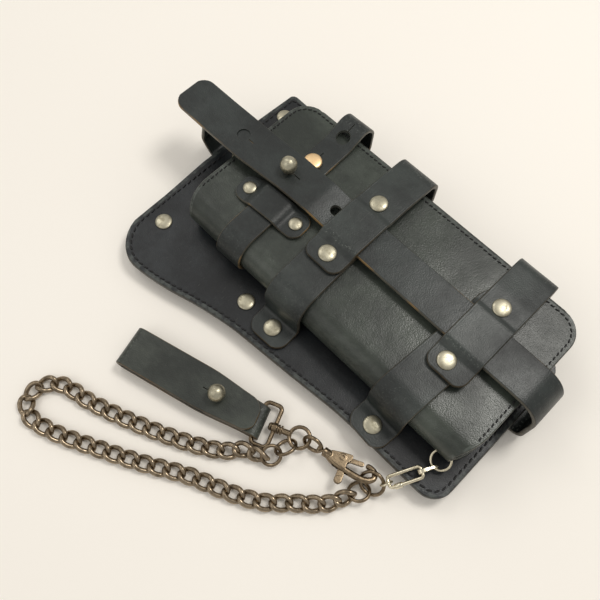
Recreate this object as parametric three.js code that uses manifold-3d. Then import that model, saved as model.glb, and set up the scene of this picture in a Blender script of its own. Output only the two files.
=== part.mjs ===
// A leather belt pouch: a thick back plate that hangs on a belt and carries a long folded wallet under
// four half straps and one lengthways strap, with a loose belt loop, a curb chain and a snap hook.
// Millimetres, +X towards the wallet's open side, +Y towards the belt, +Z out of the front.
// The origin is on the back of the plate, on its centre line, half way along the belt loops.
import * as THREE from 'three';
import { mergeVertices } from 'three/addons/utils/BufferGeometryUtils.js';
import Module from 'manifold-3d';

const wasm = await Module();
wasm.setup();

// Fits
const clearance = 0.3;
const rivetHoleClearance = 0.3;
const headSeat = 0.05;

// Back plate
const plateLength = 233.5;
const plateTop = 51;
const plateHalfWidth = 75;
const plateThickness = 3.6;
const plateBottom = plateTop - plateLength;
// Half width along the plate's length, as shares of its length from the bottom and of its half width
const plateSides = [
  { along: 0.28, across: 0.7 },
  { along: 0.45, across: 0.755 },
  { along: 0.61, across: 0.8 },
  { along: 0.71, across: 0.865 },
  { along: 0.79, across: 0.94 },
  { along: 0.87, across: 0.99 },
];
const plateFootShare = 0.7;
const plateFootRadius = 9;
const plateShoulderRadius = 24;
const plateCornerRadius = 4;
const plateShoulderDrop = 2.5;

// Belt loops on the back
const beltLoopThickness = 2.2;
const beltLoopWidth = 25;
const beltGap = 4.8;
const beltLoopTail = 7.8;
const beltLoopBend = 3;
// Places of the belt loops, in from the plate's sides, and the spans between their rivets
const beltLoops = [
  { name: 'left', x: 31 - plateHalfWidth, y: 0, span: 71, turn: 0 },
  { name: 'right', x: plateHalfWidth - 23.4, y: 2.3, span: 75.6, turn: -10 },
];

// Wallet
const walletLength = 204;
const walletTop = 27;
const walletBottom = walletTop - walletLength;
const walletFold = -34;
const walletWidth = 98;
const walletThickness = 22;
const coverThickness = 2.2;
const liningThickness = 1.5;
const liningBeyond = 1.8;
const coverBackShort = 6;
const coverTopCorner = 14;
const coverBottomCorner = 10;
const foldEndInset = 6;
const pocketThickness = 3;
const pocketInset = 2.5;
const pocketWidth = 78;

// Straps
const strapThickness = 2.6;
const strapWidth = 24.5;
const longStrapWidth = 23;
const longStrapCentre = 19;
const tabThickness = 2.4;
const tabWidth = 19;
const closureThickness = 2;
const closureWidth = 17.5;
const keeperThickness = 2.2;
const keeperWidth = 17;

// Rivets and studs
const rivet = { head: 4.6, height: 2, post: 1.4, cap: 3.2, capHeight: 0.8 };
const smallRivet = { head: 3.5, height: 1.6, post: 1.1, cap: 1.1, capHeight: 0 };
const ballRadius = 4.4;
const ballNeck = 1.7;
const studHole = 3.3;
const slitWidth = 0.5;
const slitLength = 6;
const closureStudRadius = 5.2;
const closureStudHeight = 2.2;

// Heights of the layers above the surface that the pouch lies on
const plateBack = beltLoopThickness + beltGap;
const plateFront = plateBack + plateThickness;
const walletBack = plateFront + closureThickness + 2 * clearance;
const walletFront = walletBack + walletThickness;
const strapOnPlate = plateFront + clearance + strapThickness / 2;
const strapOnWallet = walletFront + rivet.capHeight + clearance + strapThickness / 2;
const strapStep = strapThickness + clearance;
const strapUnderPlate = plateBack - clearance - strapThickness / 2;
const strapOnFloor = strapThickness / 2;
const closureFront = walletFront + clearance + closureThickness / 2;
const closureBack = walletBack - clearance - closureThickness / 2;
const tabOverClosure = closureFront + closureThickness / 2 + clearance + rivet.capHeight + tabThickness / 2;
const longOverTab = tabOverClosure + tabThickness / 2 + clearance + strapThickness / 2;

// Places along and across the pouch
const upperStrapAt = -56;
const lowerStrapAt = -140.5;
const rivetInnerX = -2.3;
const rivetOuterX = 37.6;
const strapRivetX = -44.8;
const strapEnd = 10;
const crossReturnX = 40;
const longReturnUp = 36.5;
const tabReturnDown = 13;
const looseEdgeX = 73;
const upperLeftTurn = 2.2;
const lowerLeftTurn = -4.4;
const closureAt = -12;
const closureTurn = 2;
const closureStudX = 33.8;
const closureStudUp = 1.7;
const closureHoleX = 57.2;
const closureHole = 4.2;
const closureArch = 71;
const ballAt = -6.2;

// The loose pieces on the left are placed for a plate foot of this half width, and move with its edge
const looseFoot = 52.5;
const looseShift = looseFoot - plateFootShare * plateHalfWidth;

// Loose belt loop on the left, along its length from its far fold
const looseLoop = { x: -106.5, y: -8, heading: -74.4, width: 23, neck: 18, thickness: 2.3 };
const looseLayers = { bottom: 1.15, second: 6.65, top: 9.25 };
const looseStudAt = 58;
const looseBarAt = 82.6;
const looseSkew = -0.125;
const looseOverlap = 46;
const looseTopEnd = 78;

// Metal wire pieces
const wireRadius = 1.05;
const ringRadius = 0.95;
const pinClearance = 0.3;
const postRadius = 1.1;
const squareRing = {
  long: 23.3, short: 9.5, wire: 1.2, corner: 2.6, heading: -67, height: 4.35, hub: 2.6, hubLength: 3.2,
};
const swivel = { pitch: 4.1, roll: 5.8 };
const eyeReach = 14.2;
const eyeRadius = 5.5;

// Snap hook in its own plane: u along its collar's axis, v to the gate's side
const hook = { x: -71, y: -123.9, z: 6.7, heading: -78, pitch: 2.4, roll: -7.3 };
const hookBar = [
  { u: 2.2, v: -0.4, across: 2, deep: 2.1 },
  { u: 5, v: -1.6, across: 1.9, deep: 2.1 },
  { u: 9, v: -2.2, across: 1.8, deep: 2.1 },
  { u: 14, v: -2.3, across: 1.75, deep: 2 },
  { u: 19, v: -2.1, across: 1.7, deep: 1.9 },
  { u: 23, v: -1.6, across: 1.65, deep: 1.8 },
  { u: 26.2, v: -0.2, across: 1.6, deep: 1.75 },
  { u: 27.9, v: 2.2, across: 1.55, deep: 1.7 },
  { u: 26.8, v: 4.8, across: 1.5, deep: 1.65 },
  { u: 24, v: 5.8, across: 1.45, deep: 1.6 },
  { u: 21.2, v: 5.7, across: 1.3, deep: 1.5 },
];
const hookWeb = [[2, -2], [3.4, 2.2], [7.4, 5.7], [10.6, 6], [13, 4.4], [13.6, 1], [13.6, -2.6]];
const hookWebDepth = 4.2;
const hookSlot = 2.2;
const hookSlotFrom = 6.2;
const hookSlotTo = 16;
const hookPin = { u: 9.3, v: 2.4 };
const hookPinShort = 0.2;
const leverThickness = 1.6;
const leverBoss = 2.6;
const gateArm = { u: 20.2, v: 5.3, width: 2.5 };
const thumbArm = { u: 13, v: -8.6, width: 2.4, knob: 2.1 };
const hookEye = { reach: 7.4, along: 5.1, across: 4.2, roll: 61 };

// Loose rings: centre, radius of the wire's middle line, and the tilt and heading of the raised side
const rings = [
  { name: 'ring_open', x: -83.6, y: -107.8, z: 5.15, radius: 5.6, tilt: 46.3, raised: 254, gap: 14 },
  { name: 'ring_chain_start', x: -91.8, y: -105.45, z: 4.8, radius: 5.1, tilt: 26.5, raised: 76.9, gap: 0 },
  { name: 'ring_chain_end', x: -72.4, y: -149.75, z: 3.3, radius: 5.4, tilt: 25.1, raised: 243.4, gap: 0 },
  { name: 'ring_hook', x: -65.15, y: -151.65, z: 6.3, radius: 6.35, tilt: 42.5, raised: 5.9, gap: 0 },
];

// Curb chain: links along a route from the hook's rings to the square ring's
const link = { wire: 1.15, across: 3.6, overlap: 0.6, twist: 45, points: 10, sides: 5 };
const linkCount = 40;
const chainHeight = 2.55;
const chainStart = { roll: 42, height: 4 };
const chainFinish = { roll: 55, height: 5.5 };
const chainEndLinks = 3;
const chainRoute = [
  [-79.55, -146.85], [-88.3, -142.4], [-100.2, -130.2], [-111.2, -118.5], [-119.4, -104.4], [-129.3, -82.4],
  [-142.2, -60.7], [-154, -38.5], [-164.9, -16.1], [-169, -0.6], [-165.9, 6.9], [-158.8, 9.7],
  [-151, 7], [-145.8, 0.8], [-141.6, -15.3], [-135.9, -31.1], [-126.2, -53.7], [-114.9, -75.5],
  [-106.9, -87], [-99.7, -93.6], [-96.4, -100.9],
];

// Clip between the hook's rings and the wallet's ring
const walletRing = { x: -33.9, y: -168.2, z: 16, radius: 5.15, wire: 0.65, tilt: 20 };
const clip = { x: -59.6, y: -157.3, z: 10, endX: -44.6, endY: -165.3, endZ: 14.9, half: 2.9, wire: 0.9 };
const clipRing = { radius: 3, wire: 0.55, setBack: 1.2, pitch: 11.5, roll: -74 };
const clipBarrel = { radius: 1.4, length: 4, at: 4.4 };
const tongue = { thickness: 0.9, width: 2.8, tip: 1.2 };

const leather = new THREE.MeshStandardMaterial({ color: 0x3a3f3e, roughness: 0.5, metalness: 0 });
const rivetMetal = new THREE.MeshStandardMaterial({ color: 0x9c9474, roughness: 0.4, metalness: 0.9 });
const bronze = new THREE.MeshStandardMaterial({ color: 0x7c6a4a, roughness: 0.45, metalness: 0.9 });
const antique = new THREE.MeshStandardMaterial({ color: 0x8a7a58, roughness: 0.4, metalness: 0.9 });
const nickel = new THREE.MeshStandardMaterial({ color: 0xc9c4ae, roughness: 0.3, metalness: 1 });
const copper = new THREE.MeshStandardMaterial({ color: 0xdcb47c, roughness: 0.4, metalness: 0.6 });

const pouch = new THREE.Group();
pouch.position.z = -plateBack;

function add(name, geometry, material) {
  const mesh = new THREE.Mesh(geometry, material);
  mesh.name = name;
  pouch.add(mesh);
}

function addLoose(name, geometry, material) {
  add(name, geometry.translate(looseShift, 0, 0), material);
}

const radians = THREE.MathUtils.degToRad;

// Joining and cutting of closed meshes
function toSolid(geometry) {
  const bare = geometry.clone();
  bare.deleteAttribute('normal');
  bare.deleteAttribute('uv');
  const merged = mergeVertices(bare, 1e-4);
  return new wasm.Manifold(new wasm.Mesh({
    numProp: 3,
    vertProperties: new Float32Array(merged.attributes.position.array),
    triVerts: new Uint32Array(merged.index.array),
  }));
}

function toGeometry(solid) {
  const mesh = solid.getMesh();
  const geometry = new THREE.BufferGeometry();
  geometry.setAttribute('position', new THREE.BufferAttribute(new Float32Array(mesh.vertProperties), 3));
  geometry.setIndex(new THREE.BufferAttribute(new Uint32Array(mesh.triVerts), 1));
  geometry.computeVertexNormals();
  return geometry;
}

function join(geometries) {
  return toGeometry(geometries.map(toSolid).reduce((whole, next) => whole.add(next)));
}

function cut(geometry, tools) {
  return toGeometry(tools.map(toSolid).reduce((whole, next) => whole.subtract(next), toSolid(geometry)));
}

// Points along a line of corners [a, b, radius], each corner rounded by its radius
function roundedLine(corners, arcStep = Math.PI / 6) {
  const line = [];
  corners.forEach(([a, b, radius = 0], index) => {
    const here = new THREE.Vector2(a, b);
    const before = corners[index - 1];
    const after = corners[index + 1];
    if (!radius || !before || !after) {
      line.push(here);
      return;
    }
    const back = new THREE.Vector2(before[0], before[1]).sub(here).normalize();
    const on = new THREE.Vector2(after[0], after[1]).sub(here).normalize();
    const opening = Math.acos(THREE.MathUtils.clamp(back.dot(on), -1, 1));
    const turn = Math.PI - opening;
    const tangent = radius * Math.tan(turn / 2);
    const centre = back.clone().add(on).normalize().multiplyScalar(radius / Math.cos(turn / 2)).add(here);
    const start = here.clone().addScaledVector(back, tangent);
    const side = Math.sign(back.cross(on)) || 1;
    const steps = Math.max(1, Math.ceil(turn / arcStep));
    for (let step = 0; step <= steps; step += 1) {
      line.push(start.clone().rotateAround(centre, -side * turn * step / steps));
    }
  });
  return line;
}

// How far a corner of this radius draws an edge in, at a distance from the sheet's end
function cornerInset(distance, radius) {
  return distance >= radius ? 0 : radius - Math.sqrt(radius ** 2 - (radius - distance) ** 2);
}

// A closed wall of one thickness around a grid of points, with its rim
function wall(rows, thickness) {
  const last = rows.length - 1;
  const width = rows[0].length;
  const position = [];
  rows.forEach((row, i) => row.forEach((point, j) => {
    const along = rows[Math.min(i + 1, last)][j].clone().sub(rows[Math.max(i - 1, 0)][j]);
    const across = row[Math.min(j + 1, width - 1)].clone().sub(row[Math.max(j - 1, 0)]);
    const offset = along.cross(across).normalize().multiplyScalar(thickness / 2);
    position.push(...point.clone().add(offset).toArray(), ...point.clone().sub(offset).toArray());
  }));
  const top = (i, j) => 2 * (i * width + j);
  const under = (i, j) => top(i, j) + 1;
  const index = [];
  const quad = (a, b, c, d) => index.push(a, b, c, a, c, d);
  for (let i = 0; i < last; i += 1) {
    for (let j = 0; j < width - 1; j += 1) {
      quad(top(i, j), top(i + 1, j), top(i + 1, j + 1), top(i, j + 1));
      quad(under(i, j), under(i, j + 1), under(i + 1, j + 1), under(i + 1, j));
    }
    quad(under(i, 0), under(i + 1, 0), top(i + 1, 0), top(i, 0));
    quad(under(i, width - 1), top(i, width - 1), top(i + 1, width - 1), under(i + 1, width - 1));
  }
  for (let j = 0; j < width - 1; j += 1) {
    quad(under(0, j + 1), under(0, j), top(0, j), top(0, j + 1));
    quad(under(last, j), under(last, j + 1), top(last, j + 1), top(last, j));
  }
  const geometry = new THREE.BufferGeometry();
  geometry.setAttribute('position', new THREE.Float32BufferAttribute(position, 3));
  geometry.setIndex(index);
  geometry.computeVertexNormals();
  return geometry;
}

// A leather band: a line of corners in the plane of its length and height, wide across it.
// edges gives the two sides at a distance from the start, and rounding holds both ends' corner radii.
function band({
  corners, thickness, edges, rounding = [0, 0], columns = 1, x = 0, y = 0, heading = 0, skew = () => 0,
}) {
  const line = roundedLine(corners);
  const distances = [0];
  for (let i = 1; i < line.length; i += 1) {
    distances.push(distances[i - 1] + line[i].distanceTo(line[i - 1]));
  }
  const length = distances.at(-1);
  const roundSteps = [0, 0.14, 0.5, 1];
  const stations = [
    ...distances,
    ...roundSteps.map((share) => share * rounding[0]),
    ...roundSteps.map((share) => length - share * rounding[1]),
  ].sort((a, b) => a - b);
  const kept = stations.filter((value, i) => i === 0 || value - stations[i - 1] > 0.02);
  const rows = kept.map((distance) => {
    const i = Math.max(1, distances.findIndex((value) => value >= distance - 1e-9));
    const share = (distance - distances[i - 1]) / (distances[i] - distances[i - 1]);
    const point = line[i - 1].clone().lerp(line[i], share);
    const inset = cornerInset(distance, rounding[0]) + cornerInset(length - distance, rounding[1]);
    const [low, high] = edges(distance, length, point);
    const drawn = Math.min(inset, 0.44 * (high - low));
    return Array.from({ length: columns + 1 }, (_, j) => {
      const side = THREE.MathUtils.lerp(low + drawn, high - drawn, j / columns);
      return new THREE.Vector3(point.x + side * skew(point.x), side, point.y);
    });
  });
  return wall(rows, thickness).rotateZ(radians(heading)).translate(x, y, 0);
}

const evenEdges = (width) => () => [-width / 2, width / 2];

// An upright round tool for a hole, and a slit beside a stud hole
function drill(x, y, radius, low, high, sides = 8) {
  const geometry = new THREE.CylinderGeometry(radius, radius, high - low, sides);
  return geometry.rotateX(Math.PI / 2).translate(x, y, (low + high) / 2);
}

function slit(x, y, length, low, high, heading) {
  const geometry = new THREE.BoxGeometry(length, slitWidth, high - low);
  return geometry.translate(length / 2, 0, 0).rotateZ(radians(heading)).translate(x, y, (low + high) / 2);
}

// Turned pieces: a profile of [radius, height] turned about an upright axis
function turned(profile, x, y, sides = 10) {
  const points = profile.map(([radius, height]) => new THREE.Vector2(radius, height));
  return new THREE.LatheGeometry(points, sides).rotateX(Math.PI / 2).translate(x, y, 0);
}

function rivetGeometry(size, x, y, under, over) {
  const foot = size.capHeight
    ? [[0, under - size.capHeight], [size.cap, under - size.capHeight], [size.cap, under - headSeat]]
    : [[0, under]];
  const seat = over + 2 * headSeat;
  return turned([
    ...foot,
    [size.post, under - headSeat],
    [size.post, seat],
    [size.head, seat],
    [size.head * 0.8, seat + size.height * 0.7],
    [0, seat + size.height],
  ], x, y, 8);
}

const rivetHole = (x, y, low, high) => drill(x, y, rivet.post + rivetHoleClearance, low, high, 6);

// Metal pieces bent from wire, and their placing by heading, pitch and roll in degrees
class BentLine extends THREE.Curve {
  constructor(points, closed) {
    super();
    this.steps = closed ? points.length : points.length - 1;
    this.pick = (index) => (closed
      ? points[(index + points.length) % points.length]
      : points[THREE.MathUtils.clamp(index, 0, this.steps)]);
  }

  getPointAt(share) {
    return this.pick(Math.round(share * this.steps)).clone();
  }

  getTangentAt(share) {
    const index = Math.round(share * this.steps);
    return this.pick(index + 1).clone().sub(this.pick(index - 1)).normalize();
  }
}

function wire(points, radius, sides = 6, closed = true) {
  const curve = new BentLine(points, closed);
  const { steps } = curve;
  const tube = new THREE.TubeGeometry(curve, steps, radius, sides, closed);
  if (closed) {
    return tube;
  }
  const position = [...tube.attributes.position.array];
  const index = [...tube.index.array];
  [0, steps].forEach((step) => {
    const centre = position.length / 3;
    position.push(...curve.getPointAt(step / steps).toArray());
    const first = step * (sides + 1);
    for (let side = 0; side < sides; side += 1) {
      const pair = [first + side, first + side + 1];
      index.push(centre, ...(step ? pair.reverse() : pair));
    }
  });
  const geometry = new THREE.BufferGeometry();
  geometry.setAttribute('position', new THREE.Float32BufferAttribute(position, 3));
  geometry.setIndex(index);
  return geometry;
}

// A round or oval loop in the plane of u and v, about a centre, open by a gap in degrees
function loop(across, along, radius, { count = 12, gap = 0, start = 0 } = {}) {
  const points = Array.from({ length: gap ? count + 1 : count }, (_, i) => {
    const angle = radians(start + gap / 2 + (360 - gap) * i / count);
    return new THREE.Vector3(along * Math.cos(angle), across * Math.sin(angle), 0);
  });
  return wire(points, radius, 6, !gap);
}

function placed(geometry, { x, y, z, heading = 0, pitch = 0, roll = 0 }) {
  const turn = new THREE.Euler(radians(roll), -radians(pitch), radians(heading), 'ZYX');
  return geometry.applyMatrix4(new THREE.Matrix4().makeRotationFromEuler(turn)).translate(x, y, z);
}

// A turned piece along u
const spindle = (profile, sides = 8) => turned(profile, 0, 0, sides).rotateY(Math.PI / 2);

// A bar of oval section along points { u, v, across, deep } in one plane
function flatBar(line, sides = 8, closed = false) {
  const last = line.length - 1;
  const position = [];
  line.forEach(({ u, v, across, deep }, i) => {
    const before = line[closed ? (i + last) % (last + 1) : Math.max(0, i - 1)];
    const after = line[closed ? (i + 1) % (last + 1) : Math.min(last, i + 1)];
    const onward = new THREE.Vector2(after.u - before.u, after.v - before.v).normalize();
    for (let side = 0; side < sides; side += 1) {
      const angle = 2 * Math.PI * (side + 0.5) / sides;
      const out = across * Math.cos(angle) / Math.cos(Math.PI / sides);
      const up = deep * Math.sin(angle) / Math.cos(Math.PI / sides);
      position.push(u - onward.y * out, v + onward.x * out, up);
    }
  });
  const index = [];
  for (let i = 0; i < (closed ? last + 1 : last); i += 1) {
    for (let side = 0; side < sides; side += 1) {
      const on = (side + 1) % sides;
      const here = i * sides;
      const there = ((i + 1) % (last + 1)) * sides;
      index.push(here + side, here + on, there + on, here + side, there + on, there + side);
    }
  }
  if (!closed) {
    for (let side = 1; side < sides - 1; side += 1) {
      index.push(0, side + 1, side);
      index.push(last * sides, last * sides + side, last * sides + side + 1);
    }
  }
  const geometry = new THREE.BufferGeometry();
  geometry.setAttribute('position', new THREE.Float32BufferAttribute(position, 3));
  geometry.setIndex(index);
  return geometry;
}

// Back plate
const beltRivets = beltLoops.flatMap(({ name, x, y, span, turn }) => [1, -1].map((side) => ({
  name: `${name}_${side > 0 ? 'upper' : 'lower'}`,
  x: x - Math.sin(radians(turn)) * side * span / 2,
  y: y + Math.cos(radians(turn)) * side * span / 2,
})));
const returnRivets = [
  { name: 'upper_strap_return', x: crossReturnX, y: upperStrapAt },
  { name: 'lower_strap_return', x: crossReturnX, y: lowerStrapAt },
  { name: 'long_strap_return', x: longStrapCentre, y: plateBottom + longReturnUp },
  { name: 'tab_return', x: longStrapCentre, y: plateTop - tabReturnDown },
];
const leftRivets = [
  { name: 'upper', x: strapRivetX, y: upperStrapAt - 1.6, turn: upperLeftTurn },
  { name: 'lower', x: strapRivetX, y: lowerStrapAt + 8.6, turn: lowerLeftTurn },
];

function backPlate() {
  const side = (sign) => plateSides.map(({ along, across }) => [
    sign * across * plateHalfWidth,
    plateBottom + along * plateLength,
  ]);
  const foot = plateFootShare * plateHalfWidth;
  const outline = roundedLine([
    [0, plateBottom],
    [foot, plateBottom, plateFootRadius],
    ...side(1),
    [plateHalfWidth, plateTop - plateShoulderDrop, plateCornerRadius],
    [plateHalfWidth * 0.6, plateTop - plateShoulderDrop * 0.4],
    [0, plateTop],
    [-plateHalfWidth * 0.4, plateTop - plateShoulderDrop * 0.7],
    [-plateHalfWidth, plateTop - plateShoulderDrop, plateShoulderRadius],
    ...side(-1).reverse(),
    [-foot, plateBottom, plateFootRadius],
    [-foot / 2, plateBottom],
  ]);
  const shape = new THREE.Shape(outline);
  for (const hole of [...beltRivets, ...returnRivets, ...leftRivets]) {
    const round = new THREE.Path();
    round.absarc(hole.x, hole.y, rivet.post + rivetHoleClearance, 0, 2 * Math.PI, true);
    shape.holes.push(new THREE.Path(round.getPoints(3)));
  }
  const options = { depth: plateThickness, bevelEnabled: false, curveSegments: 5 };
  return new THREE.ExtrudeGeometry(shape, options).translate(0, 0, plateBack);
}

add('backing_panel', backPlate(), leather);

// Belt loops on the back, each flat between its two riveted ends
const beltLoopOnPlate = plateBack - clearance - beltLoopThickness / 2;
for (const { name, x, y, span, turn } of beltLoops) {
  const beltLoopEnd = span / 2 + beltLoopTail;
  const ramp = span / 2 - rivet.head;
  const loop = band({
    corners: [
      [-beltLoopEnd, beltLoopOnPlate],
      [-ramp, beltLoopOnPlate, beltLoopBend],
      [-ramp + beltGap, beltLoopThickness / 2, beltLoopBend],
      [ramp - beltGap, beltLoopThickness / 2, beltLoopBend],
      [ramp, beltLoopOnPlate, beltLoopBend],
      [beltLoopEnd, beltLoopOnPlate],
    ],
    thickness: beltLoopThickness,
    edges: evenEdges(beltLoopWidth),
    rounding: [beltLoopWidth / 2, beltLoopWidth / 2],
    x,
    y,
    heading: 90 + turn,
  });
  const holes = beltRivets.filter((place) => place.name.startsWith(name));
  const holeTools = holes.map((place) => rivetHole(place.x, place.y, 0, plateBack));
  add(`belt_loop_${name}`, cut(loop, holeTools), leather);
}
for (const { name, x, y } of beltRivets) {
  const under = plateBack - clearance - beltLoopThickness;
  add(`rivet_belt_${name}`, rivetGeometry(rivet, x, y, under, plateFront), rivetMetal);
}

// Wallet: an outer cover folded like a C, a lining inside it and two stacks of pockets
const walletOpen = walletFold + walletWidth;
const keeperRivets = [
  { name: 'upper', x: -2.6, y: 3.4 },
  { name: 'lower', x: -0.6, y: -30.4 },
];

const closureLine = (x) => closureAt + x * Math.tan(radians(closureTurn));
const closureStudY = closureLine(closureStudX) + closureStudUp;
const walletLoop = (radius) => placed(
  loop(walletRing.radius, walletRing.radius, radius), { ...walletRing, heading: 0, pitch: walletRing.tilt },
);

function foldedSheet({ inset, thickness, upperBeyond, lowerShort, columns }) {
  const near = walletFold + inset + thickness / 2;
  const low = walletBack + inset + thickness / 2;
  const high = walletFront - inset - thickness / 2;
  const radius = (high - low) / 2 - 0.01;
  return band({
    corners: [
      [walletOpen - lowerShort, low],
      [near, low, radius],
      [near, high, radius],
      [walletOpen + upperBeyond, high],
    ],
    thickness,
    edges: (distance, length, point) => {
      const round = Math.max(0, 1 - (point.x - near) / (2 * radius));
      const ends = inset + foldEndInset * round ** 2;
      return [walletBottom + ends, walletTop - ends];
    },
    rounding: [coverBottomCorner, coverTopCorner],
    columns,
  });
}

const cover = foldedSheet({
  inset: 0, thickness: coverThickness, upperBeyond: 0, lowerShort: coverBackShort, columns: 3,
});
const coverHoles = [...keeperRivets, { x: closureStudX, y: closureStudY }].map(({ x, y }) => (
  drill(x, y, smallRivet.post + rivetHoleClearance, walletFront - coverThickness - 1, walletFront + 1)
));
const walletRingWay = walletLoop(walletRing.wire + clearance);
add('wallet_cover', cut(cover, [...coverHoles, walletRingWay]), leather);
const lining = foldedSheet({
  inset: coverThickness + clearance,
  thickness: liningThickness,
  upperBeyond: liningBeyond,
  lowerShort: coverBackShort - liningBeyond,
  columns: 2,
});
add('wallet_lining', cut(lining, [walletRingWay]), leather);

function pocket(bottomHeight) {
  const half = pocketWidth / 2;
  const ends = walletLength / 2 - pocketInset;
  const corner = 6;
  const outline = roundedLine([
    [0, -ends], [half, -ends, corner], [half, ends, corner], [-half, ends, corner], [-half, -ends, corner],
  ]);
  return new THREE.ExtrudeGeometry(new THREE.Shape(outline), { depth: pocketThickness, bevelEnabled: false })
    .translate(walletOpen - pocketInset - half, (walletTop + walletBottom) / 2, bottomHeight);
}

const layersInside = coverThickness + liningThickness + 2 * clearance;
add('pocket_upper', pocket(walletFront - layersInside - pocketThickness), leather);
add('pocket_lower', pocket(walletBack + layersInside), leather);

// Closure strap: from under the tab, round the fold, along the back and round the open side to its stud
const closureOutside = walletFold - 2 * clearance - closureThickness / 2;
const closureFoldRadius = (closureFront - closureBack) / 2 - 0.01;
const closure = band({
  corners: [
    [4, closureFront],
    [closureOutside, closureFront, closureFoldRadius],
    [closureOutside, closureBack, closureFoldRadius],
    [walletOpen - 1, closureBack, 8],
    [closureArch, (closureBack + walletBack) / 2 + 4, 6],
    [closureArch - 1, closureFront + 3.5, 5],
    [walletOpen - 8, closureFront, 12],
    [15, closureFront],
  ].reverse(),
  thickness: closureThickness,
  edges: evenEdges(closureWidth),
  rounding: [closureWidth / 2, closureWidth / 2],
  y: closureAt,
  heading: closureTurn,
});
const closureLow = walletFront;
const closureHigh = closureFront + closureThickness + 4;
add('closure_strap', cut(closure, [
  drill(closureStudX, closureStudY, studHole, closureLow, closureHigh),
  drill(closureHoleX, closureLine(closureHoleX), closureHole, closureLow, closureHigh),
  slit(closureStudX, closureStudY, studHole + slitLength, closureLow, closureHigh, closureTurn),
  slit(closureHoleX, closureLine(closureHoleX), closureHole + slitLength, closureLow, closureHigh, closureTurn),
]), leather);
const closureTop = closureFront + closureThickness / 2;
add('closure_stud', turned([
  [0, walletFront - coverThickness],
  [smallRivet.post, walletFront - coverThickness],
  [smallRivet.post, closureTop + clearance],
  [closureStudRadius * 0.9, closureTop + clearance],
  [closureStudRadius, closureTop + closureStudHeight * 0.5],
  [closureStudRadius * 0.85, closureTop + closureStudHeight],
  [0, closureTop + closureStudHeight * 1.15],
], closureStudX, closureStudY, 12), copper);

// Keeper tab over the closure strap, riveted to the cover above and below it
const keeperOnCover = walletFront + clearance + keeperThickness / 2;
const keeperOverStrap = closureTop + clearance + keeperThickness / 2;
const keeperSpan = keeperRivets[0].y - keeperRivets[1].y;
const keeperTail = 7.5;
const keeperFoot = 2.4;
const keeperHead = 0.8;
const keeperBend = 1;
const keeperHeading = THREE.MathUtils.radToDeg(Math.atan2(keeperSpan, keeperRivets[0].x - keeperRivets[1].x));
const keeperMiddle = { x: -1.6, y: (keeperRivets[0].y + keeperRivets[1].y) / 2 };
const keeperShift = closureLine(keeperMiddle.x) - keeperMiddle.y;
const keeper = band({
  corners: [
    [-keeperSpan / 2 - keeperTail, keeperOnCover],
    [keeperShift - closureWidth / 2 - keeperFoot, keeperOnCover, keeperBend],
    [keeperShift - closureWidth / 2 - keeperHead, keeperOverStrap, keeperBend],
    [keeperShift + closureWidth / 2 + keeperHead, keeperOverStrap, keeperBend],
    [keeperShift + closureWidth / 2 + keeperFoot, keeperOnCover, keeperBend],
    [keeperSpan / 2 + keeperTail, keeperOnCover],
  ],
  thickness: keeperThickness,
  edges: evenEdges(keeperWidth),
  rounding: [keeperWidth / 2, keeperWidth / 2],
  x: keeperMiddle.x,
  y: keeperMiddle.y,
  heading: keeperHeading,
});
add('keeper_tab', cut(keeper, keeperRivets.map(({ x, y }) => (
  drill(x, y, smallRivet.post + rivetHoleClearance, walletFront, walletFront + 6)
))), leather);
for (const { name, x, y } of keeperRivets) {
  const over = keeperOnCover + keeperThickness / 2;
  const under = walletFront - coverThickness;
  add(`rivet_keeper_${name}`, rivetGeometry(smallRivet, x, y, under, over), rivetMetal);
}

// Cross straps: each pair has a left half riveted to the plate, and a right half that comes from the
// back of the plate round the open side and lies over the long strap
const longLeft = longStrapCentre - longStrapWidth / 2;
const longRight = longStrapCentre + longStrapWidth / 2;
const leftOuter = walletFold - clearance - strapThickness / 2 - 1.2;
const rightOverRivet = strapOnWallet + strapStep;
const rightHump = rightOverRivet + strapStep;
const outerPinch = strapStep * 0.6;
const humpRise = 3.6;
const rightPinch = rightHump - strapStep * 0.4;

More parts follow.
